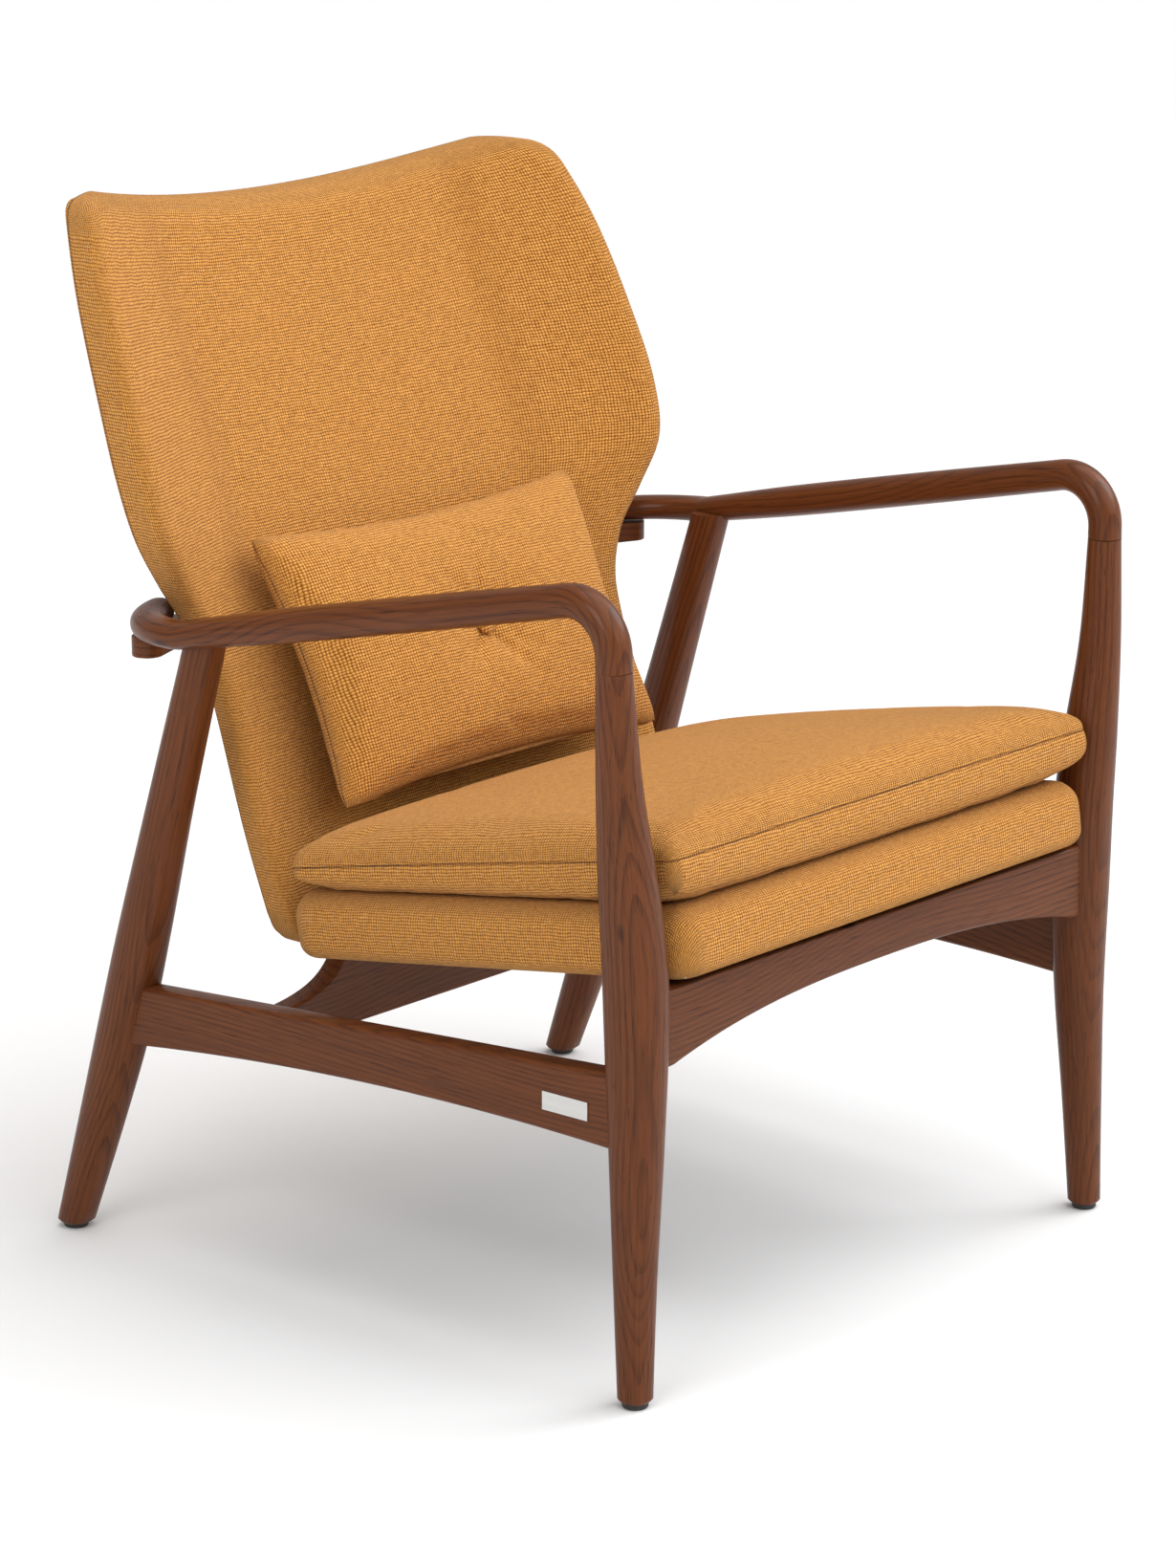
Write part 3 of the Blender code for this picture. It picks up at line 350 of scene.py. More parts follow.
def stained_wood():
    """Hardwood with arched growth rings, dark pores and a red-brown stain under satin lacquer."""
    wood = Finish("stained_wood", Coat_Weight=0.16, Coat_Roughness=0.20, Specular_IOR_Level=0.10)
    place = wood.node("Attribute", {"attribute_name": "grain"}, None, 1)
    drift = wood.grains(place, 2.2, 1.0)
    waver = wood.grains(place, 26.0, 2.0, (1.0, 1.0, 0.10))
    across, depth, _ = wood.split(place)
    swing = (drift - 0.5) * 0.13 + (waver - 0.5) * 0.008
    side = across + swing + RING_ACROSS
    inward = depth + swing * 0.7 + RING_INWARD
    radius = (side * side + inward * inward) ** 0.5
    counted = radius / RING_PITCH + (drift - 0.5) * 5.0 + (waver - 0.5) * 1.1 + 40.0
    rings = counted.work("FRACT")
    late = wood.step(rings, 0.45, 0.93) * (1 - wood.step(rings, 0.95, 1.0))
    streaks = wood.grains(place, 420.0, 3.0, (1.0, 1.0, 0.018), 0.65)
    pores = wood.step(wood.grains(place, 1150.0, 1.0, (1.0, 1.0, 0.03)), 0.60, 0.74)
    cloud = wood.grains(place, 9.0, 2.0, (1.0, 1.0, 0.35))
    knot_place = wood.node("Mapping", {}, {"Vector": place, "Scale": (17.0, 17.0, 6.5)})
    knot = wood.node("TexVoronoi", {}, {"Vector": knot_place, "Scale": 1.0})
    dark = wood.node("Clamp", {}, {0: late * (cloud * 0.75 + 0.05) + (streaks - 0.40) * 1.5})
    body = wood.colours(cloud, (0.096, 0.026, 0.0068, 1.0), (0.166, 0.050, 0.0140, 1.0))
    lined = wood.colours(dark * 0.85, body, (0.036, 0.0105, 0.0050, 1.0))
    open_grain = wood.colours(pores * 0.55, lined, (0.014, 0.005, 0.003, 1.0))
    eye = 1 - wood.step(knot, 0.035, 0.085)
    wood.feed("Base Color", wood.colours(eye * 0.8, open_grain, (0.010, 0.004, 0.003, 1.0)))
    wood.feed("Roughness", 0.36 + pores * 0.22 + (cloud - 0.5) * 0.12)
    wood.relief(1 - pores * 0.8 - dark * 0.3, 0.25, 0.00025)
    return wood.material


wood_finish = stained_wood()
plank_cuts = itertools.count(1)


def finish_board(piece, nodes, own_places):
    """Every board is cut from another part of the plank, so the figure differs between pieces."""
    cut = next(plank_cuts)
    shift = np.array(PLANK_SHIFT) * (cut % 5 - 2, cut % 3 - 1, cut)
    note(piece, "grain", np.asarray(own_places) + shift)
    piece.data.materials.clear()
    piece.data.materials.append(wood_finish)
    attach(piece, "frame")
    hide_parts(*nodes)


def turn_leg(hand, end, side, stations):
    top = stations[-1][0] if end == "front" else REAR_LEG_TOP
    sharp = LEG_FOOT + LEG_CHAMFER
    heights = [LEG_FOOT, LEG_FOOT + LEG_SOLE, sharp]
    heights += [sharp + (top - sharp) * i / LEG_RINGS for i in range(1, LEG_RINGS + 1)]
    rings = []
    for height in heights:
        out, depth, width = through(stations, height)
        half = width / 2 - max(sharp - height, 0.0) * LEG_CHAMFER_SLOPE
        rings.append((side * out, depth + CHAIR_BACK, height, half, half))
    return draw_out(f"{hand}_{end}_leg_turned", LEG_SIDES, LEG_SQUARENESS, rings)


legs = {}
for side, hand in ((-1, "right"), (1, "left")):
    for end, stations in (("front", FRONT_LEG), ("rear", REAR_LEG)):
        legs[hand, end] = turn_leg(hand, end, side, stations)

# ---------------------------------------------------------------------------------------------
# Armrests: each is one length of the same wood, bent up from the front leg, run back and down
# in a straight line, and turned inward behind the back to lie on the bowed cross rail.
ARM_SIDES, ARM_STEPS = 36, 150
LEG_TOP, ARM_GAP = 0.585, 0.0003
ARM_CORNER = Vector((0.3107, -0.3113, 0.6425))
ARM_BEND_RADIUS = 0.038
ARM_REAR = Vector((0.325, 0.135, 0.5450))
ARM_TURN_RADIUS, ARM_TURN_WIDENING = 0.09, 0.004
ARM_TURN_END = math.radians(72)
ARM_END_HEIGHT = 0.5410
ARM_TIP, ARM_TIP_BLUNT = 0.0072, 0.16
BEND_STEPS, RUN_STEPS, POST_STEPS = 40, 60, 12
# Each station along an armrest: the share of its length, its half width, its half height.
ARM_SECTIONS = (
    (0.0, 0.0134, 0.0134),
    (0.12, 0.0142, 0.0130),
    (0.35, 0.0165, 0.0138),
    (0.62, 0.0172, 0.0136),
    (0.82, 0.0165, 0.0112),
    (1.0, 0.0125, 0.0106),
)


def armrest_line():
    """Closely spaced points along the left armrest's centre, from the leg to the rear tip."""
    slope = (ARM_REAR - ARM_CORNER).normalized()
    rise = Vector((0, 0, 1))
    turn = rise.angle(slope)
    start = ARM_CORNER - rise * (ARM_BEND_RADIUS * math.tan(turn / 2))
    inward = (slope - rise * slope.dot(rise)).normalized()
    centre = start + inward * ARM_BEND_RADIUS
    foot = Vector((ARM_CORNER.x - 0.0002, FRONT_LEG[-1][2], LEG_TOP + ARM_GAP))
    line = [foot.lerp(start, i / POST_STEPS) for i in range(POST_STEPS + 1)]
    for i in range(1, BEND_STEPS + 1):
        angle = turn * i / BEND_STEPS
        sideways, upward = ARM_BEND_RADIUS * math.cos(angle), ARM_BEND_RADIUS * math.sin(angle)
        line.append(centre - inward * sideways + rise * upward)
    line += [line[-1].lerp(ARM_REAR, i / RUN_STEPS) for i in range(1, RUN_STEPS + 1)]
    for i in range(1, BEND_STEPS + 1):
        share = i / BEND_STEPS
        angle, radius = ARM_TURN_END * share, ARM_TURN_RADIUS + ARM_TURN_WIDENING * share
        drop = (ARM_END_HEIGHT - ARM_REAR.z) * math.sin(math.pi / 2 * share)
        x = ARM_REAR.x - ARM_TURN_RADIUS + radius * math.cos(angle)
        line.append(Vector((x, ARM_REAR.y + radius * math.sin(angle), ARM_REAR.z + drop)))
    line.append(line[-1] + (line[-1] - line[-2]).normalized() * ARM_TIP)
    return line


def bend_to(piece, line, across):
    """Bends a straight bar along its own Z to a line of points, its own X starting along across."""
    lengths = np.cumsum([0.0] + [(b - a).length for a, b in zip(line, line[1:])])
    frames = []
    for i in range(len(line)):
        ahead = (line[min(i + 1, len(line) - 1)] - line[max(i - 1, 0)]).normalized()
        across = (across - ahead * across.dot(ahead)).normalized()
        frames.append((*line[i], *across, *ahead.cross(across)))
    frames = np.array(frames)
    own = points_of(piece)
    at = np.clip(own[:, 2], 0.0, lengths[-1])
    read = np.stack([np.interp(at, lengths, column) for column in frames.T], axis=1)
    put_points(piece, read[:, 0:3] + read[:, 3:6] * own[:, 0:1] + read[:, 6:9] * own[:, 1:2])
    return own


def bend_armrest(hand, side):
    line = armrest_line()
    whole = sum((b - a).length for a, b in zip(line, line[1:]))
    full = whole - ARM_TIP
    rings = []
    for i in range(ARM_STEPS + 1):
        share = i / ARM_STEPS
        half_width, half_height = through(ARM_SECTIONS, share)
        rings.append((0.0, 0.0, full * share, half_width, half_height))
    for reach in (0.25, 0.5, 0.7, 0.85, 0.95, 1.0):
        size = math.sqrt(max(1 - reach * reach, 0.0)) * (1 - ARM_TIP_BLUNT) + ARM_TIP_BLUNT
        rings.append((0.0, 0.0, full + ARM_TIP * reach, half_width * size, half_height * size))
    piece = draw_out(f"{hand}_armrest_bent", ARM_SIDES, LEG_SQUARENESS, rings)
    own = bend_to(piece, line, Vector((1, 0, 0)))
    points = points_of(piece)
    points[:, 0] *= side
    points[:, 1] += CHAIR_BACK
    put_points(piece, points)
    if side < 0:
        piece.data.flip_normals()
    soften(piece, 50)
    finish_board(piece, [f"{hand}_armrest"], own)
    return piece


armrests = {hand: bend_armrest(hand, side) for side, hand in ((-1, "right"), (1, "left"))}
for (hand, end), leg in legs.items():
    if end == "rear":
        scribe(leg, armrests[hand])
    soften(leg, 40)
    stations = FRONT_LEG if end == "front" else REAR_LEG
    side = -1 if hand == "right" else 1
    own = points_of(leg)
    for point in own:
        out, depth, _ = through(stations, point[2])
        point[0] -= side * out
        point[1] -= depth + CHAIR_BACK
    finish_board(leg, [f"{hand}_{end}_leg"], own)

# ---------------------------------------------------------------------------------------------
# Side stretchers and rails: flat boards with softened edges, tenoned into the legs. The side
# boards are straight on top and faintly arched below; the front board is arched on its lower
# edge; the rear plank sweeps up in the middle to carry the deck and the back.
BOARD_ROUND, FRONT_RAIL_ROUND, REAR_RAIL_ROUND, ROUND_STEPS = 0.0038, 0.003, 0.0025, 4
SHARPEST_KEPT = math.radians(40)
STRETCHER_THICK = 0.022
STRETCHER_FRONT, STRETCHER_REAR = Vector((0.293, -0.3135)), Vector((0.311, 0.2180))
STRETCHER_TOP, STRETCHER_LOW = (0.2685, 0.2335), (0.2065, 0.2055, 0.1815)
FRONT_RAIL_HALF, FRONT_RAIL_DEPTH, FRONT_RAIL_THICK = 0.2865, -0.3165, 0.022
FRONT_RAIL_LOW_END, FRONT_RAIL_LOW_MIDDLE, FRONT_RAIL_TOP = 0.268, 0.2950, 0.3310
FRONT_RAIL_ARCH_HALF, FRONT_RAIL_ARCH = 0.262, 2.6
REAR_RAIL_DEPTH, REAR_RAIL_THICK, REAR_RAIL_LOW = 0.0978, 0.020, 0.194
STRETCHER_STEPS, RAIL_STEPS, PLANK_STEPS = 24, 40, 44
# Each station along half of the rear plank: a share of the way, how far out, its upper edge.
REAR_RAIL_EDGE = (
    (0.0, 0.128, 0.306),
    (0.04, 0.145, 0.290),
    (0.07, 0.165, 0.284),
    (0.10, 0.181, 0.279),
    (0.13, 0.186, 0.268),
    (0.17, 0.196, 0.250),
    (0.21, 0.212, 0.237),
    (0.25, 0.235, 0.229),
    (0.30, 0.265, 0.2245),
    (0.34, 0.2935, 0.2225),
)


def round_edges(piece, radius):
    edges = piece.modifiers.new("rounded_edges", "BEVEL")
    edges.width, edges.segments, edges.limit_method = radius, ROUND_STEPS, "ANGLE"
    edges.angle_limit = SHARPEST_KEPT
    settle(piece, edges)


def saw_board(name, stations, thickness, placing, fitted_to, nodes, rounding):
    """A board from (along, low, high) stations, its edges rounded, scribed to its neighbours."""
    rings = []
    for along, low, high in stations:
        rings.append((0.0, (low + high) / 2, along, thickness / 2, (high - low) / 2))
    piece = draw_out(name, 4, None, rings)
    round_edges(piece, rounding)
    piece.data.transform(placing)
    piece.data.update()
    for neighbour in fitted_to:
        scribe(piece, neighbour)
    soften(piece, 35)
    back_to_own = placing.inverted()
    finish_board(piece, nodes, [back_to_own @ vertex.co for vertex in piece.data.vertices])
    return piece


def lay_along(start, direction, up):
    """The turn that lays a board's own Z along a direction, its own Y up."""
    ahead = Vector(direction).normalized()
    across = Vector(up).cross(ahead).normalized()
    turned = Matrix((across, ahead.cross(across), ahead)).transposed().to_4x4()
    return Matrix.Translation(start) @ turned


stretchers = {}
for side, hand in ((-1, "right"), (1, "left")):
    start = Vector((side * STRETCHER_FRONT.x, STRETCHER_FRONT.y + CHAIR_BACK, 0.0))
    run = Vector((side * STRETCHER_REAR.x, STRETCHER_REAR.y + CHAIR_BACK, 0.0)) - start
    low_front, low_middle, low_rear = STRETCHER_LOW
    stations = []
    for i in range(STRETCHER_STEPS + 1):
        share = i / STRETCHER_STEPS
        arch = (low_middle - (low_front + low_rear) / 2) * 4 * share * (1 - share)
        low = low_front + (low_rear - low_front) * share + arch
        top = STRETCHER_TOP[0] + (STRETCHER_TOP[1] - STRETCHER_TOP[0]) * share
        stations.append((run.length * share, low, top))
    placing = lay_along(start, run, (0, 0, 1))
    fitted = (legs[hand, "front"], legs[hand, "rear"])
    node = f"{hand}_side_stretcher"
    stretchers[hand] = saw_board(
        node + "_board", stations, STRETCHER_THICK, placing, fitted, [node], BOARD_ROUND
    )

stations = []
for i in range(RAIL_STEPS + 1):
    x = -FRONT_RAIL_HALF + 2 * FRONT_RAIL_HALF * i / RAIL_STEPS
    share = min(abs(x) / FRONT_RAIL_ARCH_HALF, 1.0)
    rise = FRONT_RAIL_LOW_MIDDLE - FRONT_RAIL_LOW_END
    stations.append((x, FRONT_RAIL_LOW_MIDDLE - rise * share**FRONT_RAIL_ARCH, FRONT_RAIL_TOP))
placing = lay_along((0.0, FRONT_RAIL_DEPTH + CHAIR_BACK, 0.0), (1, 0, 0), (0, 0, 1))
fitted = (legs["right", "front"], legs["left", "front"])
saw_board(
    "front_rail_board", stations, FRONT_RAIL_THICK, placing, fitted, ["front_rail"], FRONT_RAIL_ROUND
)

PLANK_END = REAR_RAIL_EDGE[-1][0]
half_edge = [through(REAR_RAIL_EDGE, PLANK_END * i / PLANK_STEPS) for i in range(PLANK_STEPS + 1)]
stations = [(-x, REAR_RAIL_LOW, high) for x, high in reversed(half_edge)]
stations += [(x, REAR_RAIL_LOW, high) for x, high in half_edge]
placing = lay_along((0.0, REAR_RAIL_DEPTH + CHAIR_BACK, 0.0), (1, 0, 0), (0, 0, 1))
fitted = (stretchers["right"], stretchers["left"])
saw_board(
    "rear_seat_rail_plank",
    stations,
    REAR_RAIL_THICK,
    placing,
    fitted,
    ["rear_seat_rail"],
    REAR_RAIL_ROUND,
)

# ---------------------------------------------------------------------------------------------
# Cross rail: one bowed rail of the same wood behind the back, with round ends. The armrests'
# rear ends lie on it and the back is screwed to it.
CROSS_RAIL_RADIUS, CROSS_RAIL_FRONT, CROSS_RAIL_DEPTH = 0.75, 0.2508, 0.026
CROSS_RAIL_HALF, CROSS_RAIL_BOTTOM, CROSS_RAIL_TOP = 0.312, 0.5130, 0.5298
CROSS_RAIL_ROUND, BOW_STEPS, BOW_RINGS, END_RINGS = 0.0036, 80, 60, 8


def bow_cross_rail():
    middle = CROSS_RAIL_RADIUS + CROSS_RAIL_DEPTH / 2
    half_deep, half_high = CROSS_RAIL_DEPTH / 2, (CROSS_RAIL_TOP - CROSS_RAIL_BOTTOM) / 2
    swing = math.asin((CROSS_RAIL_HALF - half_deep) / middle) + half_deep / middle
    line = []
    for i in range(BOW_STEPS + 1):
        angle = swing * (2 * i / BOW_STEPS - 1)
        depth = CROSS_RAIL_FRONT - CROSS_RAIL_RADIUS + middle * math.cos(angle) + CHAIR_BACK
        line.append(Vector((middle * math.sin(angle), depth, CROSS_RAIL_BOTTOM + half_high)))
    whole = sum((b - a).length for a, b in zip(line, line[1:]))
    ends = [half_deep * (1 - math.cos(math.pi / 2 * i / END_RINGS)) for i in range(1, END_RINGS + 1)]
    straight = whole - 2 * half_deep
    places = ends + [half_deep + straight * i / BOW_RINGS for i in range(1, BOW_RINGS)]
    places += [whole - end for end in reversed(ends)]
    rings = []
    for place in places:
        inside = min(place, whole - place)
        share = min(inside / half_deep, 1.0)
        rings.append((0.0, 0.0, place, half_deep * math.sqrt(1 - (1 - share) ** 2), half_high))
    piece = draw_out("back_cross_rail_bowed", 4, None, rings)
    round_edges(piece, CROSS_RAIL_ROUND)
    own = bend_to(piece, line, Vector((0, 1, 0)))
    only(piece)
    bpy.ops.object.mode_set(mode="EDIT")
    bpy.ops.mesh.select_all(action="SELECT")
    bpy.ops.mesh.normals_make_consistent(inside=False)
    bpy.ops.object.mode_set(mode="OBJECT")
    soften(piece, 35)
    finish_board(piece, ["back_cross_rail"], own)


bow_cross_rail()

# ---------------------------------------------------------------------------------------------
# Cloth: one ochre basket weave of thick matt yarn covers the back, the deck, the seat cushion
# and the lumbar pillow. Light yarn crowns, dark gaps at the crossings, and uneven threads.
YARN_PITCH, SEAM_HALF, SEAM_FADE = 0.0026, 0.0003, 0.0011
SLOW_WAVER, QUICK_WAVER = (0.0030, 0.0030, 0.0), (0.0008, 0.0008, 0.0004)


def basket_weave():
    cloth = Finish("ochre_weave", Sheen_Weight=0.16, Sheen_Roughness=0.5, Specular_IOR_Level=0.12)
    cloth.shader.inputs["Sheen Tint"].default_value = (1.0, 0.86, 0.62, 1.0)
    place = cloth.node("Attribute", {"attribute_name": "cloth"}, None, 1)
    # The painted shade that finish_cloth lays on each point, darkest in the valleys beside the back's
    # wings.
    pull = cloth.node("Attribute", {"attribute_name": "pull"}, None, 2)
    bent = cloth.node("TexNoise", {}, {"Vector": place, "Scale": 70.0, "Detail": 2.0}, 1)
    loose = cloth.node("TexNoise", {}, {"Vector": place, "Scale": 520.0, "Detail": 1.0}, 1)
    moved = place
    for waver, most in ((bent, SLOW_WAVER), (loose, QUICK_WAVER)):
        scaled = cloth.node("VectorMath", {"operation": "MULTIPLY"}, {0: waver, 1: most})
        moved = cloth.node("VectorMath", {"operation": "ADD"}, {0: moved, 1: scaled})
    warp, weft, seam_far = cloth.split(moved)
    warp, weft = (thread / YARN_PITCH + 4000.0 for thread in (warp, weft))
    over = (warp.work("FLOOR") + weft.work("FLOOR")).work("MODULO", 2.0)
    warp_round, weft_round = ((thread.work("FRACT") * math.pi).work("SINE") for thread in (warp, weft))
    warp_over = warp_round**0.6 * (weft_round * 0.6 + 0.4)
    weft_over = weft_round**0.6 * (warp_round * 0.6 + 0.4)
    crown = warp_over * over + weft_over * (1 - over)
    fibre = cloth.grains(place, 2600.0, 2.0)
    slub = cloth.grains(place, 210.0, 3.0)
    seam = 1 - cloth.step(seam_far.work("ABSOLUTE"), SEAM_HALF, SEAM_FADE)
    cloud = cloth.grains(place, 14.0, 2.0)
    lit = crown * 1.05 + (slub - 0.5) * 0.55 + (fibre - 0.5) * 0.25 - seam * 0.45
    raised = cloth.node("Clamp", {}, {0: lit})
    stops = [
        (0.0, (0.105, 0.028, 0.003, 1.0)),
        (0.33, (0.300, 0.105, 0.013, 1.0)),
        (0.70, (0.560, 0.235, 0.044, 1.0)),
        (1.0, (0.760, 0.375, 0.092, 1.0)),
    ]
    yarn = cloth.node("ValToRGB", {"stops": stops}, {0: raised})
    worn = cloth.colours((cloud - 0.35) * 0.3, yarn, (0.55, 0.215, 0.032, 1.0))
    # Painted shade: the cloth is darkened by the per-point shade weight, along the valleys beside the
    # back's wings.
    cloth.feed("Base Color", cloth.colours(pull * 0.30, worn, (0.33, 0.12, 0.020, 1.0)))
    cloth.feed("Roughness", 0.97 - crown * 0.12)
    cloth.relief(crown + (fibre - 0.5) * 0.25 + (slub - 0.5) * 0.5 - seam * 1.4, 0.9, 0.0012)
    return cloth.material


weave_finish = basket_weave()


def finish_cloth(piece, places, pull, nodes, body="frame"):
    """Lays the weave on a piece, from every point's place in the flat cloth and the painted shade it
    gets.
    """
    note(piece, "cloth", places)
    # Each point's painted shade, kept for the weave's colour.
    painted_shade = piece.data.attributes.new("pull", "FLOAT", "POINT")
    painted_shade.data.foreach_set("value", np.broadcast_to(pull, len(piece.data.vertices)))
    piece.data.materials.clear()
    piece.data.materials.append(weave_finish)
    only(piece)
    bpy.ops.object.shade_smooth()
    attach(piece, body)
    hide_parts(*nodes)


def soft_box(name, half, low, high, corner, round_low, round_high, cuts):
    """A box whose plan corners and whose lower and upper edges each have their own radius.

    Gives the box, and its points' places in a cloth laid flat from the middle of its top."""
    bpy.ops.object.select_all(action="DESELECT")
    bpy.ops.mesh.primitive_cube_add(size=2.0)
    piece = bpy.context.object
    piece.name = piece.data.name = name
    bpy.ops.object.mode_set(mode="EDIT")
    bpy.ops.mesh.select_all(action="SELECT")
    bpy.ops.mesh.subdivide(number_cuts=cuts)
    bpy.ops.object.mode_set(mode="OBJECT")
    spot = points_of(piece)
    spot = 0.45 * spot + 0.55 * np.sin(spot * math.pi / 2)
    plan = spot[:, :2] * half
    level = (low + high) / 2 + spot[:, 2] * (high - low) / 2
    core = np.clip(plan, -(np.array(half) - corner), np.array(half) - corner)
    beyond = plan - core
    longest = np.abs(beyond).max(axis=1)
    length = np.linalg.norm(beyond, axis=1)
    outward = beyond / np.maximum(length, 1e-9)[:, None]
    reach, unrolled = longest.copy(), high - level
    for edge, radius, sign in ((high, round_high, 1), (low, round_low, -1)):
        side = np.clip(radius - (corner - longest), 0.0, radius)
        rise = np.clip(radius - (edge - level) * sign, 0.0, radius)
        both = (side > 0) & (rise > 0)
        shrink = np.maximum(side, rise) / np.maximum(np.hypot(side, rise), 1e-9)
        reach = np.where(both, reach - side + side * shrink, reach)
        level = np.where(both, level + sign * (rise * shrink - rise), level)
    put_points(piece, np.column_stack([core + outward * reach[:, None], level]))
    return piece, core + outward * (longest + unrolled)[:, None]


# ---------------------------------------------------------------------------------------------
# The back: a bent shell with foam in front under one tight cover, with wings that come forward
# at head height and a top edge that dips in the middle. The rear is a separate panel, sewn on
# just inside the cover's edge.
# Each station up the back: its height, its half width, how far its wings come forward.
BACK_OUTLINE = (
    (0.269, 0.241, 0.000),
    (0.36, 0.247, 0.000),
    (0.48, 0.247, 0.002),
    (0.53, 0.262, 0.012),
    (0.565, 0.286, 0.026),
    (0.605, 0.309, 0.044),
    (0.65, 0.315, 0.050),
    (0.70, 0.3115, 0.050),
    (0.77, 0.302, 0.043),
    (0.82, 0.286, 0.034),
    (0.838, 0.275, 0.030),
    (0.848, 0.252, 0.028),
)
BACK_LOW, BACK_HIGH = BACK_OUTLINE[0][0], BACK_OUTLINE[-1][0]
BACK_THICK, BACK_DIP, BACK_SLOPE = 0.048, 0.031, 0.39
BACK_ROUND, BACK_CORNER, WING_START, BACK_HALF = 0.021, 0.030, 0.168, 0.30
BACK_REAR_ROUND, BACK_SWEEP, LOW_HOLLOW = 0.004, 0.26, 0.020
# Painted shade along the valley beside each wing: how far out it lies, its width, the height where it
# starts, how dark it is painted.
VALLEY_PLACE, VALLEY_WIDTH, VALLEY_LOW, VALLEY_PAINTED_SHADE = 0.186, 0.016, 0.45, 0.7
PANEL_INSET, PANEL_SUNK, PANEL_PROUD, PANEL_CORNER = 0.006, -0.0015, 0.0032, 0.013


def back_faces(x, level):
    """Depths of the back's front and rear face at a place across and up it."""
    half, wing = through(BACK_OUTLINE, level)
    past = max(abs(x) - WING_START, 0.0) / (half - WING_START)
    low = LOW_HOLLOW * max(1 - (level - BACK_LOW) / 0.06, 0.0) * max(1 - (x / 0.24) ** 4, 0.0)
    straight = 0.19 + BACK_SLOPE * (level - 0.5) + CHAIR_BACK
    flatter_below = 0.72 + 0.28 * min((level - BACK_LOW) / 0.2, 1.0)
    rear = straight + BACK_THICK - flatter_below * x * x / (2 * CROSS_RAIL_RADIUS)
    return straight + low - 0.25 * x * x - wing * past**1.25, rear - 0.2 * wing * past**1.5


def wrap_back(flat):
    """Takes points of the flat slab (across, up, depth share 0 to 1) to their place on the back."""
    found = []
    for across, level, share in flat:
        half, _ = through(BACK_OUTLINE, level)
        x = across / BACK_HALF * half
        front, rear = back_faces(x, level)
        height = (level - BACK_LOW) / (BACK_HIGH - BACK_LOW)
        lift = BACK_DIP * (x / BACK_SWEEP) ** 2 * height**4
        found.append((x, front + (rear - front) * share, level + lift))
    return np.array(found)


def cover_back():
    half = (BACK_HALF, (BACK_HIGH - BACK_LOW) / 2)
    slab, cloth = soft_box(
        "back_cover_sewn", half, -BACK_THICK, 0.0, BACK_CORNER, BACK_REAR_ROUND, BACK_ROUND, 96
    )
    flat = points_of(slab)
    behind = -flat[:, 2]
    flat[:, 1] += (BACK_LOW + BACK_HIGH) / 2
    flat[:, 2] = behind / BACK_THICK
    seam = BACK_THICK - BACK_REAR_ROUND - behind
    cloth = np.column_stack([cloth * (1.0, math.hypot(1, BACK_SLOPE)), seam])
    placed = wrap_back(flat)
    put_points(slab, placed)
    # Painted shade: the cover's colour darkens along the valley where each wing turns forward, on the
    # front face only and fading out low down.
    valley_shade = np.exp(-(((np.abs(placed[:, 0]) - VALLEY_PLACE) / VALLEY_WIDTH) ** 2))
    valley_shade *= np.clip(1 - behind / 0.012, 0, 1) * np.clip((placed[:, 2] - VALLEY_LOW) / 0.12, 0, 1)
    finish_cloth(slab, cloth, valley_shade * VALLEY_PAINTED_SHADE, ["back_cover", "back_foam"], "frame")


cover_back()


def panel_back():
    half = (BACK_HALF - PANEL_INSET, (BACK_HIGH - BACK_LOW) / 2 - PANEL_INSET)
    panel, cloth = soft_box(
        "back_rear_panel_sewn", half, PANEL_SUNK, PANEL_PROUD, PANEL_CORNER, 0.001, 0.0024, 60
    )
    flat = points_of(panel)
    cloth = np.column_stack([cloth + (0.5, 0.3), np.ones(len(flat))])
    flat[:, 1] += (BACK_LOW + BACK_HIGH) / 2
    proud = flat[:, 2].copy()
    flat[:, 2] = 1.0
    placed = wrap_back(flat)
    placed[:, 1] += proud
    put_points(panel, placed)
    panel.data.flip_normals()
    finish_cloth(panel, cloth, 0.0, ["back_rear_panel"])


panel_back()

# ---------------------------------------------------------------------------------------------
# The deck: the fixed base of the seat, a webbed wood frame with foam, pulled tight under cloth
# that is stapled below, where a black lining closes it.
SEAT_HALF, SEAT_FRONT, SEAT_REAR = 0.262, -0.338, 0.085
DECK_THICK, DECK_SLOPE, DECK_HEIGHT = 0.056, math.radians(9.2), 0.3314
DECK_CORNER, DECK_ROUND_LOW, DECK_ROUND_HIGH = 0.024, 0.013, 0.021
DECK_BULGE, DECK_HEM, DECK_HOLLOW = 0.0015, 0.0135, 0.0012


def turned_place(centre, slope):
    return Matrix.Translation(centre) @ Matrix.Rotation(slope, 4, "X")


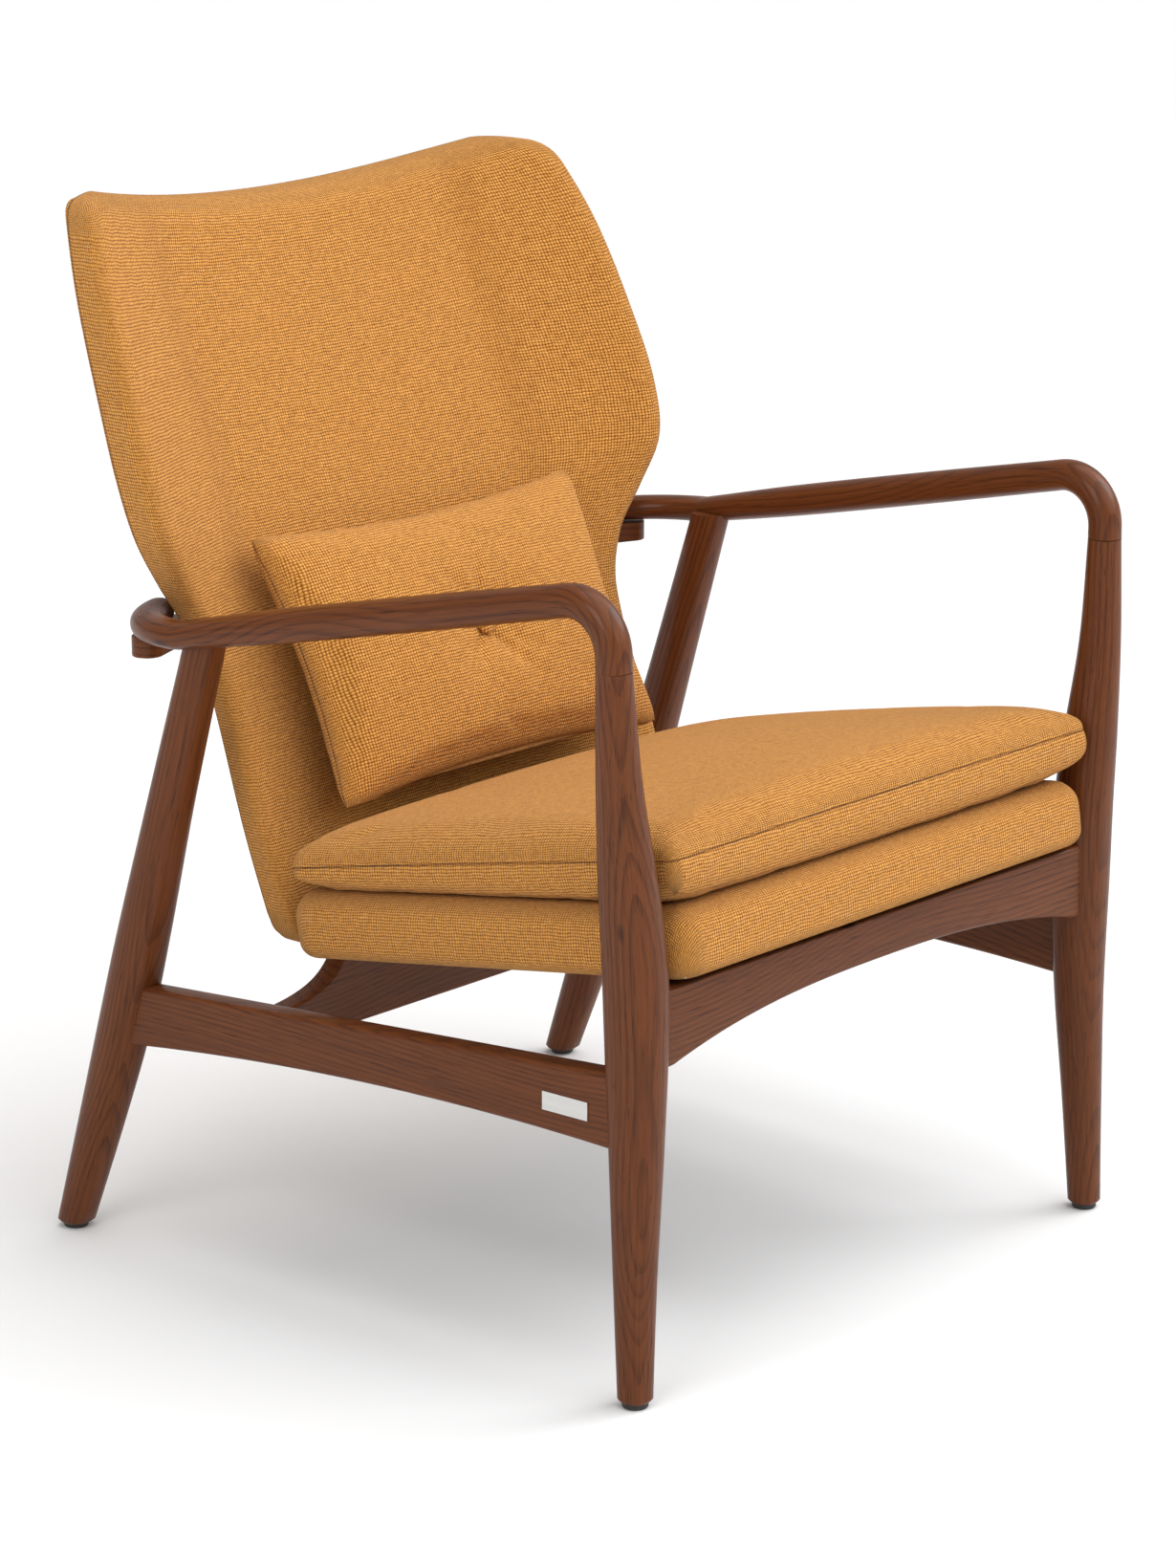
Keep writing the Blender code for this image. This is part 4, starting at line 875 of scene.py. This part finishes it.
def cover_deck():
    half_depth = (SEAT_REAR - SEAT_FRONT) / 2 / math.cos(DECK_SLOPE)
    low, high = -DECK_THICK / 2, DECK_THICK / 2
    half = (SEAT_HALF, half_depth)
    cover, cloth = soft_box(
        "deck_cover_sewn", half, low, high, DECK_CORNER, DECK_ROUND_LOW, DECK_ROUND_HIGH, 64
    )
    own = points_of(cover)
    normal = normals_of(cover)
    bulge = np.clip(1 - (own[:, 2] / (DECK_THICK / 2)) ** 2, 0, 1)
    own[:, :2] += normal[:, :2] * (bulge * DECK_BULGE)[:, None]
    under = own[:, 2] < low + 0.0004
    inner = (np.abs(own[:, :2]) < np.array(half) - DECK_HEM).all(axis=1)
    own[under & inner, 2] = low + DECK_HOLLOW
    cloth = np.column_stack([cloth, np.ones(len(own))])
    put_points(cover, own)
    middle = (SEAT_FRONT + SEAT_REAR) / 2 + CHAIR_BACK
    cover.data.transform(turned_place((0, middle, DECK_HEIGHT), -DECK_SLOPE))
    cover.data.update()
    finish_cloth(cover, cloth + (1.3, 0.7, 0.0), 0.0, ["deck_cover", "deck_foam"], "frame")


cover_deck()

# ---------------------------------------------------------------------------------------------
# The seat cushion, loose on the deck: two panels of cloth sewn round a foam slab, crowned on
# top, standing boxy below the seam. The lumbar pillow, loose in front of the back: two panels
# over a soft filling, its middle drawn in by a button on each face.
SEAT_SLOPE = math.radians(11.6)
CUSHION_HALF, CUSHION_SEAM, CUSHION_CROWN = 0.274, 0.348, 0.037
CUSHION_DEPTH_FRONT, CUSHION_DEPTH_REAR = 0.0385, 0.0205
CUSHION_PULL, CUSHION_EDGE, CUSHION_ROUND_LOW = 0.006, 0.0190, 0.020
PILLOW_HALF = (0.204, 0.128)
PILLOW_CENTRE = Vector((0.0, 0.1345 + CHAIR_BACK, 0.4885))
PILLOW_LEAN, PILLOW_THICK, PILLOW_PULL, PILLOW_EDGE = math.radians(26.6), 0.041, 0.014, 0.016
CUSHION_CORNER, PILLOW_CORNER = 0.016, 0.015
CLOTH_FRAMES, CLOTH_QUALITY, CLOTH_PRESSURE, CLOTH_TENSION, CLOTH_BENDING = 20, 5, 4.0, 12.0, 0.4
SEAM_WIDTH, SEAM_DEPTH = 0.004, 0.0012
DIMPLES = ((0.005, 0.36, 0.5), (0.004, 0.11, 0.17))
FOLD_COUNT, FOLD_TURN, FOLD_DEPTH, FOLD_REACH, BUTTON_SEAT = 5, 1.2, 0.0040, 0.055, 0.014


def sew_panels(name, half, face, pull_in, cells=56):
    """Two panels of one shape joined round their rim."""
    bpy.ops.object.select_all(action="DESELECT")
    bpy.ops.mesh.primitive_grid_add(x_subdivisions=cells, y_subdivisions=cells, size=2.0)
    piece = bpy.context.object
    piece.name = piece.data.name = name
    bpy.ops.object.mode_set(mode="EDIT")
    bpy.ops.mesh.select_all(action="SELECT")
    bpy.ops.mesh.duplicate()
    bpy.ops.mesh.flip_normals()
    bpy.ops.object.mode_set(mode="OBJECT")
    count = len(piece.data.vertices) // 2
    for i, vertex in enumerate(piece.data.vertices):
        u, v = (math.sin(math.pi / 2 * share) for share in vertex.co[:2])
        blunt = 1 - 0.03 * abs(u * v) ** 12
        x = u * (half[0] * blunt - pull_in * (1 - v * v))
        y = v * (half[1] * blunt - pull_in * (1 - u * u))
        vertex.co = (x, y, face(u, v) if i < count else -face(u, v))
    only(piece)
    bpy.ops.object.mode_set(mode="EDIT")
    bpy.ops.mesh.select_all(action="SELECT")
    bpy.ops.mesh.remove_doubles(threshold=0.00002)
    bpy.ops.mesh.normals_make_consistent(inside=False)
    bpy.ops.object.mode_set(mode="OBJECT")
    return piece


def fill_with_foam(piece, voxel, most, shrink, held=None):
    """Swells the sewn cover by a little air pressure, as a filling does, and keeps the result.

    It starts shrunk, moves by no more than most, and stays still where held says so."""
    swell = piece.modifiers.new("even_threads", "REMESH")
    swell.mode, swell.voxel_size, swell.adaptivity = "VOXEL", voxel, 0.0
    settle(piece, swell)
    before = points_of(piece)
    start = before - normals_of(piece) * shrink
    put_points(piece, start)
    if held is not None:
        pinned = piece.vertex_groups.new(name="held")
        for index in np.nonzero(held(before))[0]:
            pinned.add([int(index)], 1.0, "REPLACE")
    cloth = piece.modifiers.new("cloth", "CLOTH")
    cloth.settings.quality = CLOTH_QUALITY
    cloth.settings.use_pressure = True
    cloth.settings.uniform_pressure_force = CLOTH_PRESSURE
    cloth.settings.effector_weights.gravity = 0.0
    cloth.settings.tension_stiffness = CLOTH_TENSION
    cloth.settings.bending_stiffness = CLOTH_BENDING
    cloth.collision_settings.use_collision = False
    if held is not None:
        cloth.settings.vertex_group_mass = "held"
    cloth.point_cache.frame_start, cloth.point_cache.frame_end = 1, CLOTH_FRAMES
    for step in range(1, CLOTH_FRAMES + 1):
        bpy.context.scene.frame_set(step)
    graph = bpy.context.evaluated_depsgraph_get()
    swollen = np.empty(len(before) * 3, np.float32)
    piece.evaluated_get(graph).data.vertices.foreach_get("co", swollen)
    piece.modifiers.remove(cloth)
    bpy.context.scene.frame_set(1)
    moved = swollen.reshape(-1, 3) - before
    length = np.linalg.norm(moved, axis=1)
    moved *= (most * np.tanh(length / most) / np.maximum(length, 1e-9))[:, None]
    put_points(piece, before + moved)
    finer = piece.modifiers.new("finer", "SUBSURF")
    finer.levels = finer.render_levels = 1
    settle(piece, finer)
    return points_of(piece)


def drawn_in(own, half, pull):
    """The half width and depth at every point of a cover whose sides draw in between corners."""
    u, v = np.clip(own[:, 0] / half[0], -1, 1), np.clip(own[:, 1] / half[1], -1, 1)
    return np.column_stack([half[0] - pull * (1 - v * v), half[1] - pull * (1 - u * u)])


def unroll(own, half, corner, below):
    """Places in the flat cloth: straight on the face, and on down the side from its rounded edge."""
    inner = half - corner
    core = np.clip(own[:, :2], -inner, inner)
    beyond = own[:, :2] - core
    length = np.linalg.norm(beyond, axis=1)
    outward = beyond / np.maximum(length, 1e-9)[:, None]
    drop = np.clip(below, 0.0, None)
    bend = corner * np.arctan2(length, np.clip(corner - drop, 0.0, None) + 1e-9)
    return core + outward * (bend + np.clip(drop - corner, 0.0, None))[:, None]


def sew_seam(piece, own):
    """Sinks the seam that runs round a cover's side at its own zero height."""
    normal = normals_of(piece)
    upright = np.clip(np.hypot(normal[:, 0], normal[:, 1]) * 2 - 0.8, 0, 1)
    groove = np.exp(-((own[:, 2] / SEAM_WIDTH) ** 2)) * upright
    put_points(piece, own - normal * (groove * SEAM_DEPTH)[:, None])


def stuff_seat_cushion():
    middle = (SEAT_FRONT + SEAT_REAR) / 2
    half_depth = (SEAT_REAR - SEAT_FRONT) / 2 / math.cos(SEAT_SLOPE)

    def depth_at(v):
        return CUSHION_DEPTH_FRONT + (CUSHION_DEPTH_REAR - CUSHION_DEPTH_FRONT) * (v + 1) / 2

    half = (CUSHION_HALF, half_depth)
    lowest, edge = -CUSHION_DEPTH_FRONT, CUSHION_EDGE
    piece = soft_box(
        "seat_cushion_sewn", half, lowest, edge, CUSHION_CORNER, CUSHION_ROUND_LOW, edge - 0.0005, 44
    )[0]
    own = points_of(piece)
    u, v = own[:, 0] / half[0], own[:, 1] / half[1]
    dome = np.clip((1 - u * u) * (1 - v * v), 0, 1) ** 0.8
    upper = (CUSHION_CROWN - edge) * dome * np.clip(own[:, 2] / edge, 0, 1)
    under = own[:, 2] * depth_at(v) / CUSHION_DEPTH_FRONT
    own[:, 2] = np.where(own[:, 2] > 0, own[:, 2] + upper, under)
    own[:, 2] *= 1 - 0.32 * np.abs(u * v) ** 5
    own[:, 0] *= 1 - CUSHION_PULL * (1 - v * v) / half[0]
    own[:, 1] *= 1 - CUSHION_PULL * (1 - u * u) / half[1]
    put_points(piece, own)
    own = fill_with_foam(piece, 0.005, 0.006, 0.003)
    lowest = -depth_at(np.clip(own[:, 1] / half_depth, -1, 1)) + 0.0002
    own[:, 2] = np.maximum(own[:, 2], lowest)
    own[:, 0] = np.clip(own[:, 0], -CUSHION_HALF, CUSHION_HALF)
    own[:, 1] = np.clip(own[:, 1], -half_depth - 0.001, half_depth)
    put_points(piece, own)
    here = drawn_in(own, half, CUSHION_PULL)
    cloth = unroll(own, here, CUSHION_CORNER, CUSHION_EDGE - own[:, 2])
    places = np.column_stack([cloth + (2.1, 0.4), own[:, 2]])
    sew_seam(piece, own)
    rise = math.tan(SEAT_SLOPE) * (SEAT_REAR - middle)
    piece.data.transform(turned_place((0, middle + CHAIR_BACK, CUSHION_SEAM + rise), -SEAT_SLOPE))
    piece.data.update()
    nodes = ["seat_cushion_cover", "seat_cushion_core"]
    finish_cloth(piece, places, 0.0, nodes, "seat_cushion")


stuff_seat_cushion()


def stuff_lumbar_pillow():
    def face(u, v):
        dimple = sum(d * math.exp(-((u / a) ** 2 + (v / b) ** 2)) for d, a, b in DIMPLES)
        dome = (PILLOW_THICK - PILLOW_EDGE) * ((1 - u * u) * (1 - v * v)) ** 0.85
        thinner = 1 - 0.4 * abs(u * v) ** 4
        border = PILLOW_EDGE * ((1 - abs(u) ** 12.0) * (1 - abs(v) ** 12.0)) ** 0.5
        return border * thinner + dome - dimple

    def under_button(spot):
        return np.hypot(spot[:, 0], spot[:, 1]) < 0.012

    piece = sew_panels("lumbar_pillow_sewn", PILLOW_HALF, face, PILLOW_PULL)
    own = fill_with_foam(piece, 0.0045, 0.006, 0.002, under_button)
    reach, angle = np.hypot(own[:, 0], own[:, 1]), np.arctan2(own[:, 1], own[:, 0])
    folds = np.clip(np.cos(FOLD_COUNT * angle - FOLD_TURN), 0, 1) ** 2
    folds *= np.exp(-((reach / FOLD_REACH) ** 2)) * (1 - np.exp(-((reach / BUTTON_SEAT) ** 2)))
    own[:, 2] -= np.sign(own[:, 2]) * FOLD_DEPTH * folds
    put_points(piece, own)
    here = drawn_in(own, PILLOW_HALF, PILLOW_PULL)
    cloth = unroll(own, here, PILLOW_CORNER, PILLOW_EDGE - np.abs(own[:, 2]))
    places = np.column_stack([cloth + (3.4, 0.9), own[:, 2]])
    sew_seam(piece, own)
    piece.data.transform(turned_place(PILLOW_CENTRE, math.pi / 2 - PILLOW_LEAN))
    piece.data.update()
    nodes = ["lumbar_pillow_cover", "lumbar_pillow_core"]
    finish_cloth(piece, places, 0.0, nodes, "lumbar_pillow")


stuff_lumbar_pillow()

# ---------------------------------------------------------------------------------------------
# Buttons: two cloth-covered buttons sewn through the middle of the pillow.
BUTTON_RADIUS, BUTTON_HIGH, BUTTON_UNDER = 0.011, 0.0046, 0.0006
BUTTON_PLACE = PILLOW_THICK - sum(dimple[0] for dimple in DIMPLES) + 0.0014
for face, sign in (("front", 1), ("rear", -1)):
    bpy.ops.object.select_all(action="DESELECT")
    bpy.ops.mesh.primitive_uv_sphere_add(segments=32, ring_count=20, radius=1.0)
    button = bpy.context.object
    button.name = button.data.name = f"pillow_{face}_button_covered"
    own = points_of(button)
    own *= (BUTTON_RADIUS, BUTTON_RADIUS, BUTTON_HIGH)
    own[:, 2] = np.maximum(own[:, 2], -BUTTON_UNDER)
    own[:, 2] = sign * (own[:, 2] + BUTTON_PLACE)
    places = own * (1.0, 1.0, 0.0) + (4.7, 0.2, 1.0)
    put_points(button, own)
    if sign < 0:
        button.data.flip_normals()
    button.data.transform(turned_place(PILLOW_CENTRE, math.pi / 2 - PILLOW_LEAN))
    button.data.update()
    finish_cloth(button, places, 0.0, [f"pillow_{face}_button"], "lumbar_pillow")

# ---------------------------------------------------------------------------------------------
# The small pieces stay as packed and get their finishes here: nylon glides, zinc-plated screws,
# the blank plate on the right stretcher, and everything inside the upholstery.


def plain_finishes():
    made = {}
    nylon = Finish("dark_nylon")
    spot = nylon.node("TexCoord", {}, {}, 3)
    speck = nylon.grains(spot, 900.0)
    shades = ((0.008, 0.007, 0.006, 1.0), (0.022, 0.018, 0.015, 1.0))
    nylon.feed("Base Color", nylon.colours(speck, *shades))
    nylon.feed("Roughness", 0.38 + speck * 0.2)
    made["dark_nylon"] = nylon
    for slot, tint, rough, scale in (
        ("screw_steel", (0.55, 0.55, 0.56), 0.28, 500.0),
        ("plate_metal", (0.66, 0.65, 0.63), 0.30, 260.0),
    ):
        metal = Finish(slot, Metallic=1.0)
        spot = metal.node("TexCoord", {}, {}, 3)
        brushed = metal.grains(spot, scale, 3.0, (1.0, 0.04, 1.0))
        dull = tuple(0.86 * part for part in tint)
        metal.feed("Base Color", metal.colours(brushed, (*tint, 1.0), (*dull, 1.0)))
        metal.feed("Roughness", rough + brushed * 0.18)
        made[slot] = metal
    for slot, light, dark, scale, stretch in (
        ("raw_beech", (0.52, 0.36, 0.20), (0.38, 0.24, 0.12), 160.0, (0.05, 1.0, 1.0)),
        ("foam", (0.84, 0.80, 0.64), (0.66, 0.61, 0.45), 900.0, (1.0, 1.0, 1.0)),
        ("webbing", (0.075, 0.072, 0.070), (0.020, 0.020, 0.020), 700.0, (0.2, 1.0, 1.0)),
        ("lining", (0.045, 0.045, 0.045), (0.018, 0.018, 0.018), 1500.0, (1.0, 1.0, 1.0)),
        ("zip_tape", (0.42, 0.19, 0.045), (0.22, 0.09, 0.02), 1300.0, (0.3, 1.0, 1.0)),
    ):
        stuff = Finish(slot)
        spot = stuff.node("TexCoord", {}, {}, 3)
        mottle = stuff.grains(spot, scale, 3.0, stretch)
        share = stuff.step(mottle, 0.35, 0.65)
        stuff.feed("Base Color", stuff.colours(share, (*dark, 1.0), (*light, 1.0)))
        stuff.feed("Roughness", 0.78 + mottle * 0.2)
        stuff.relief(mottle, 0.4, 0.0006)
        made[slot] = stuff
    return {slot: finish.material for slot, finish in made.items()}


small_finishes = plain_finishes()
for part in frame["record"]["subparts"]:
    node = frame["nodes"][part["node"]]
    if node.hide_render or part["material_slot"] not in small_finishes:
        continue
    node.data.materials.clear()
    node.data.materials.append(small_finishes[part["material_slot"]])
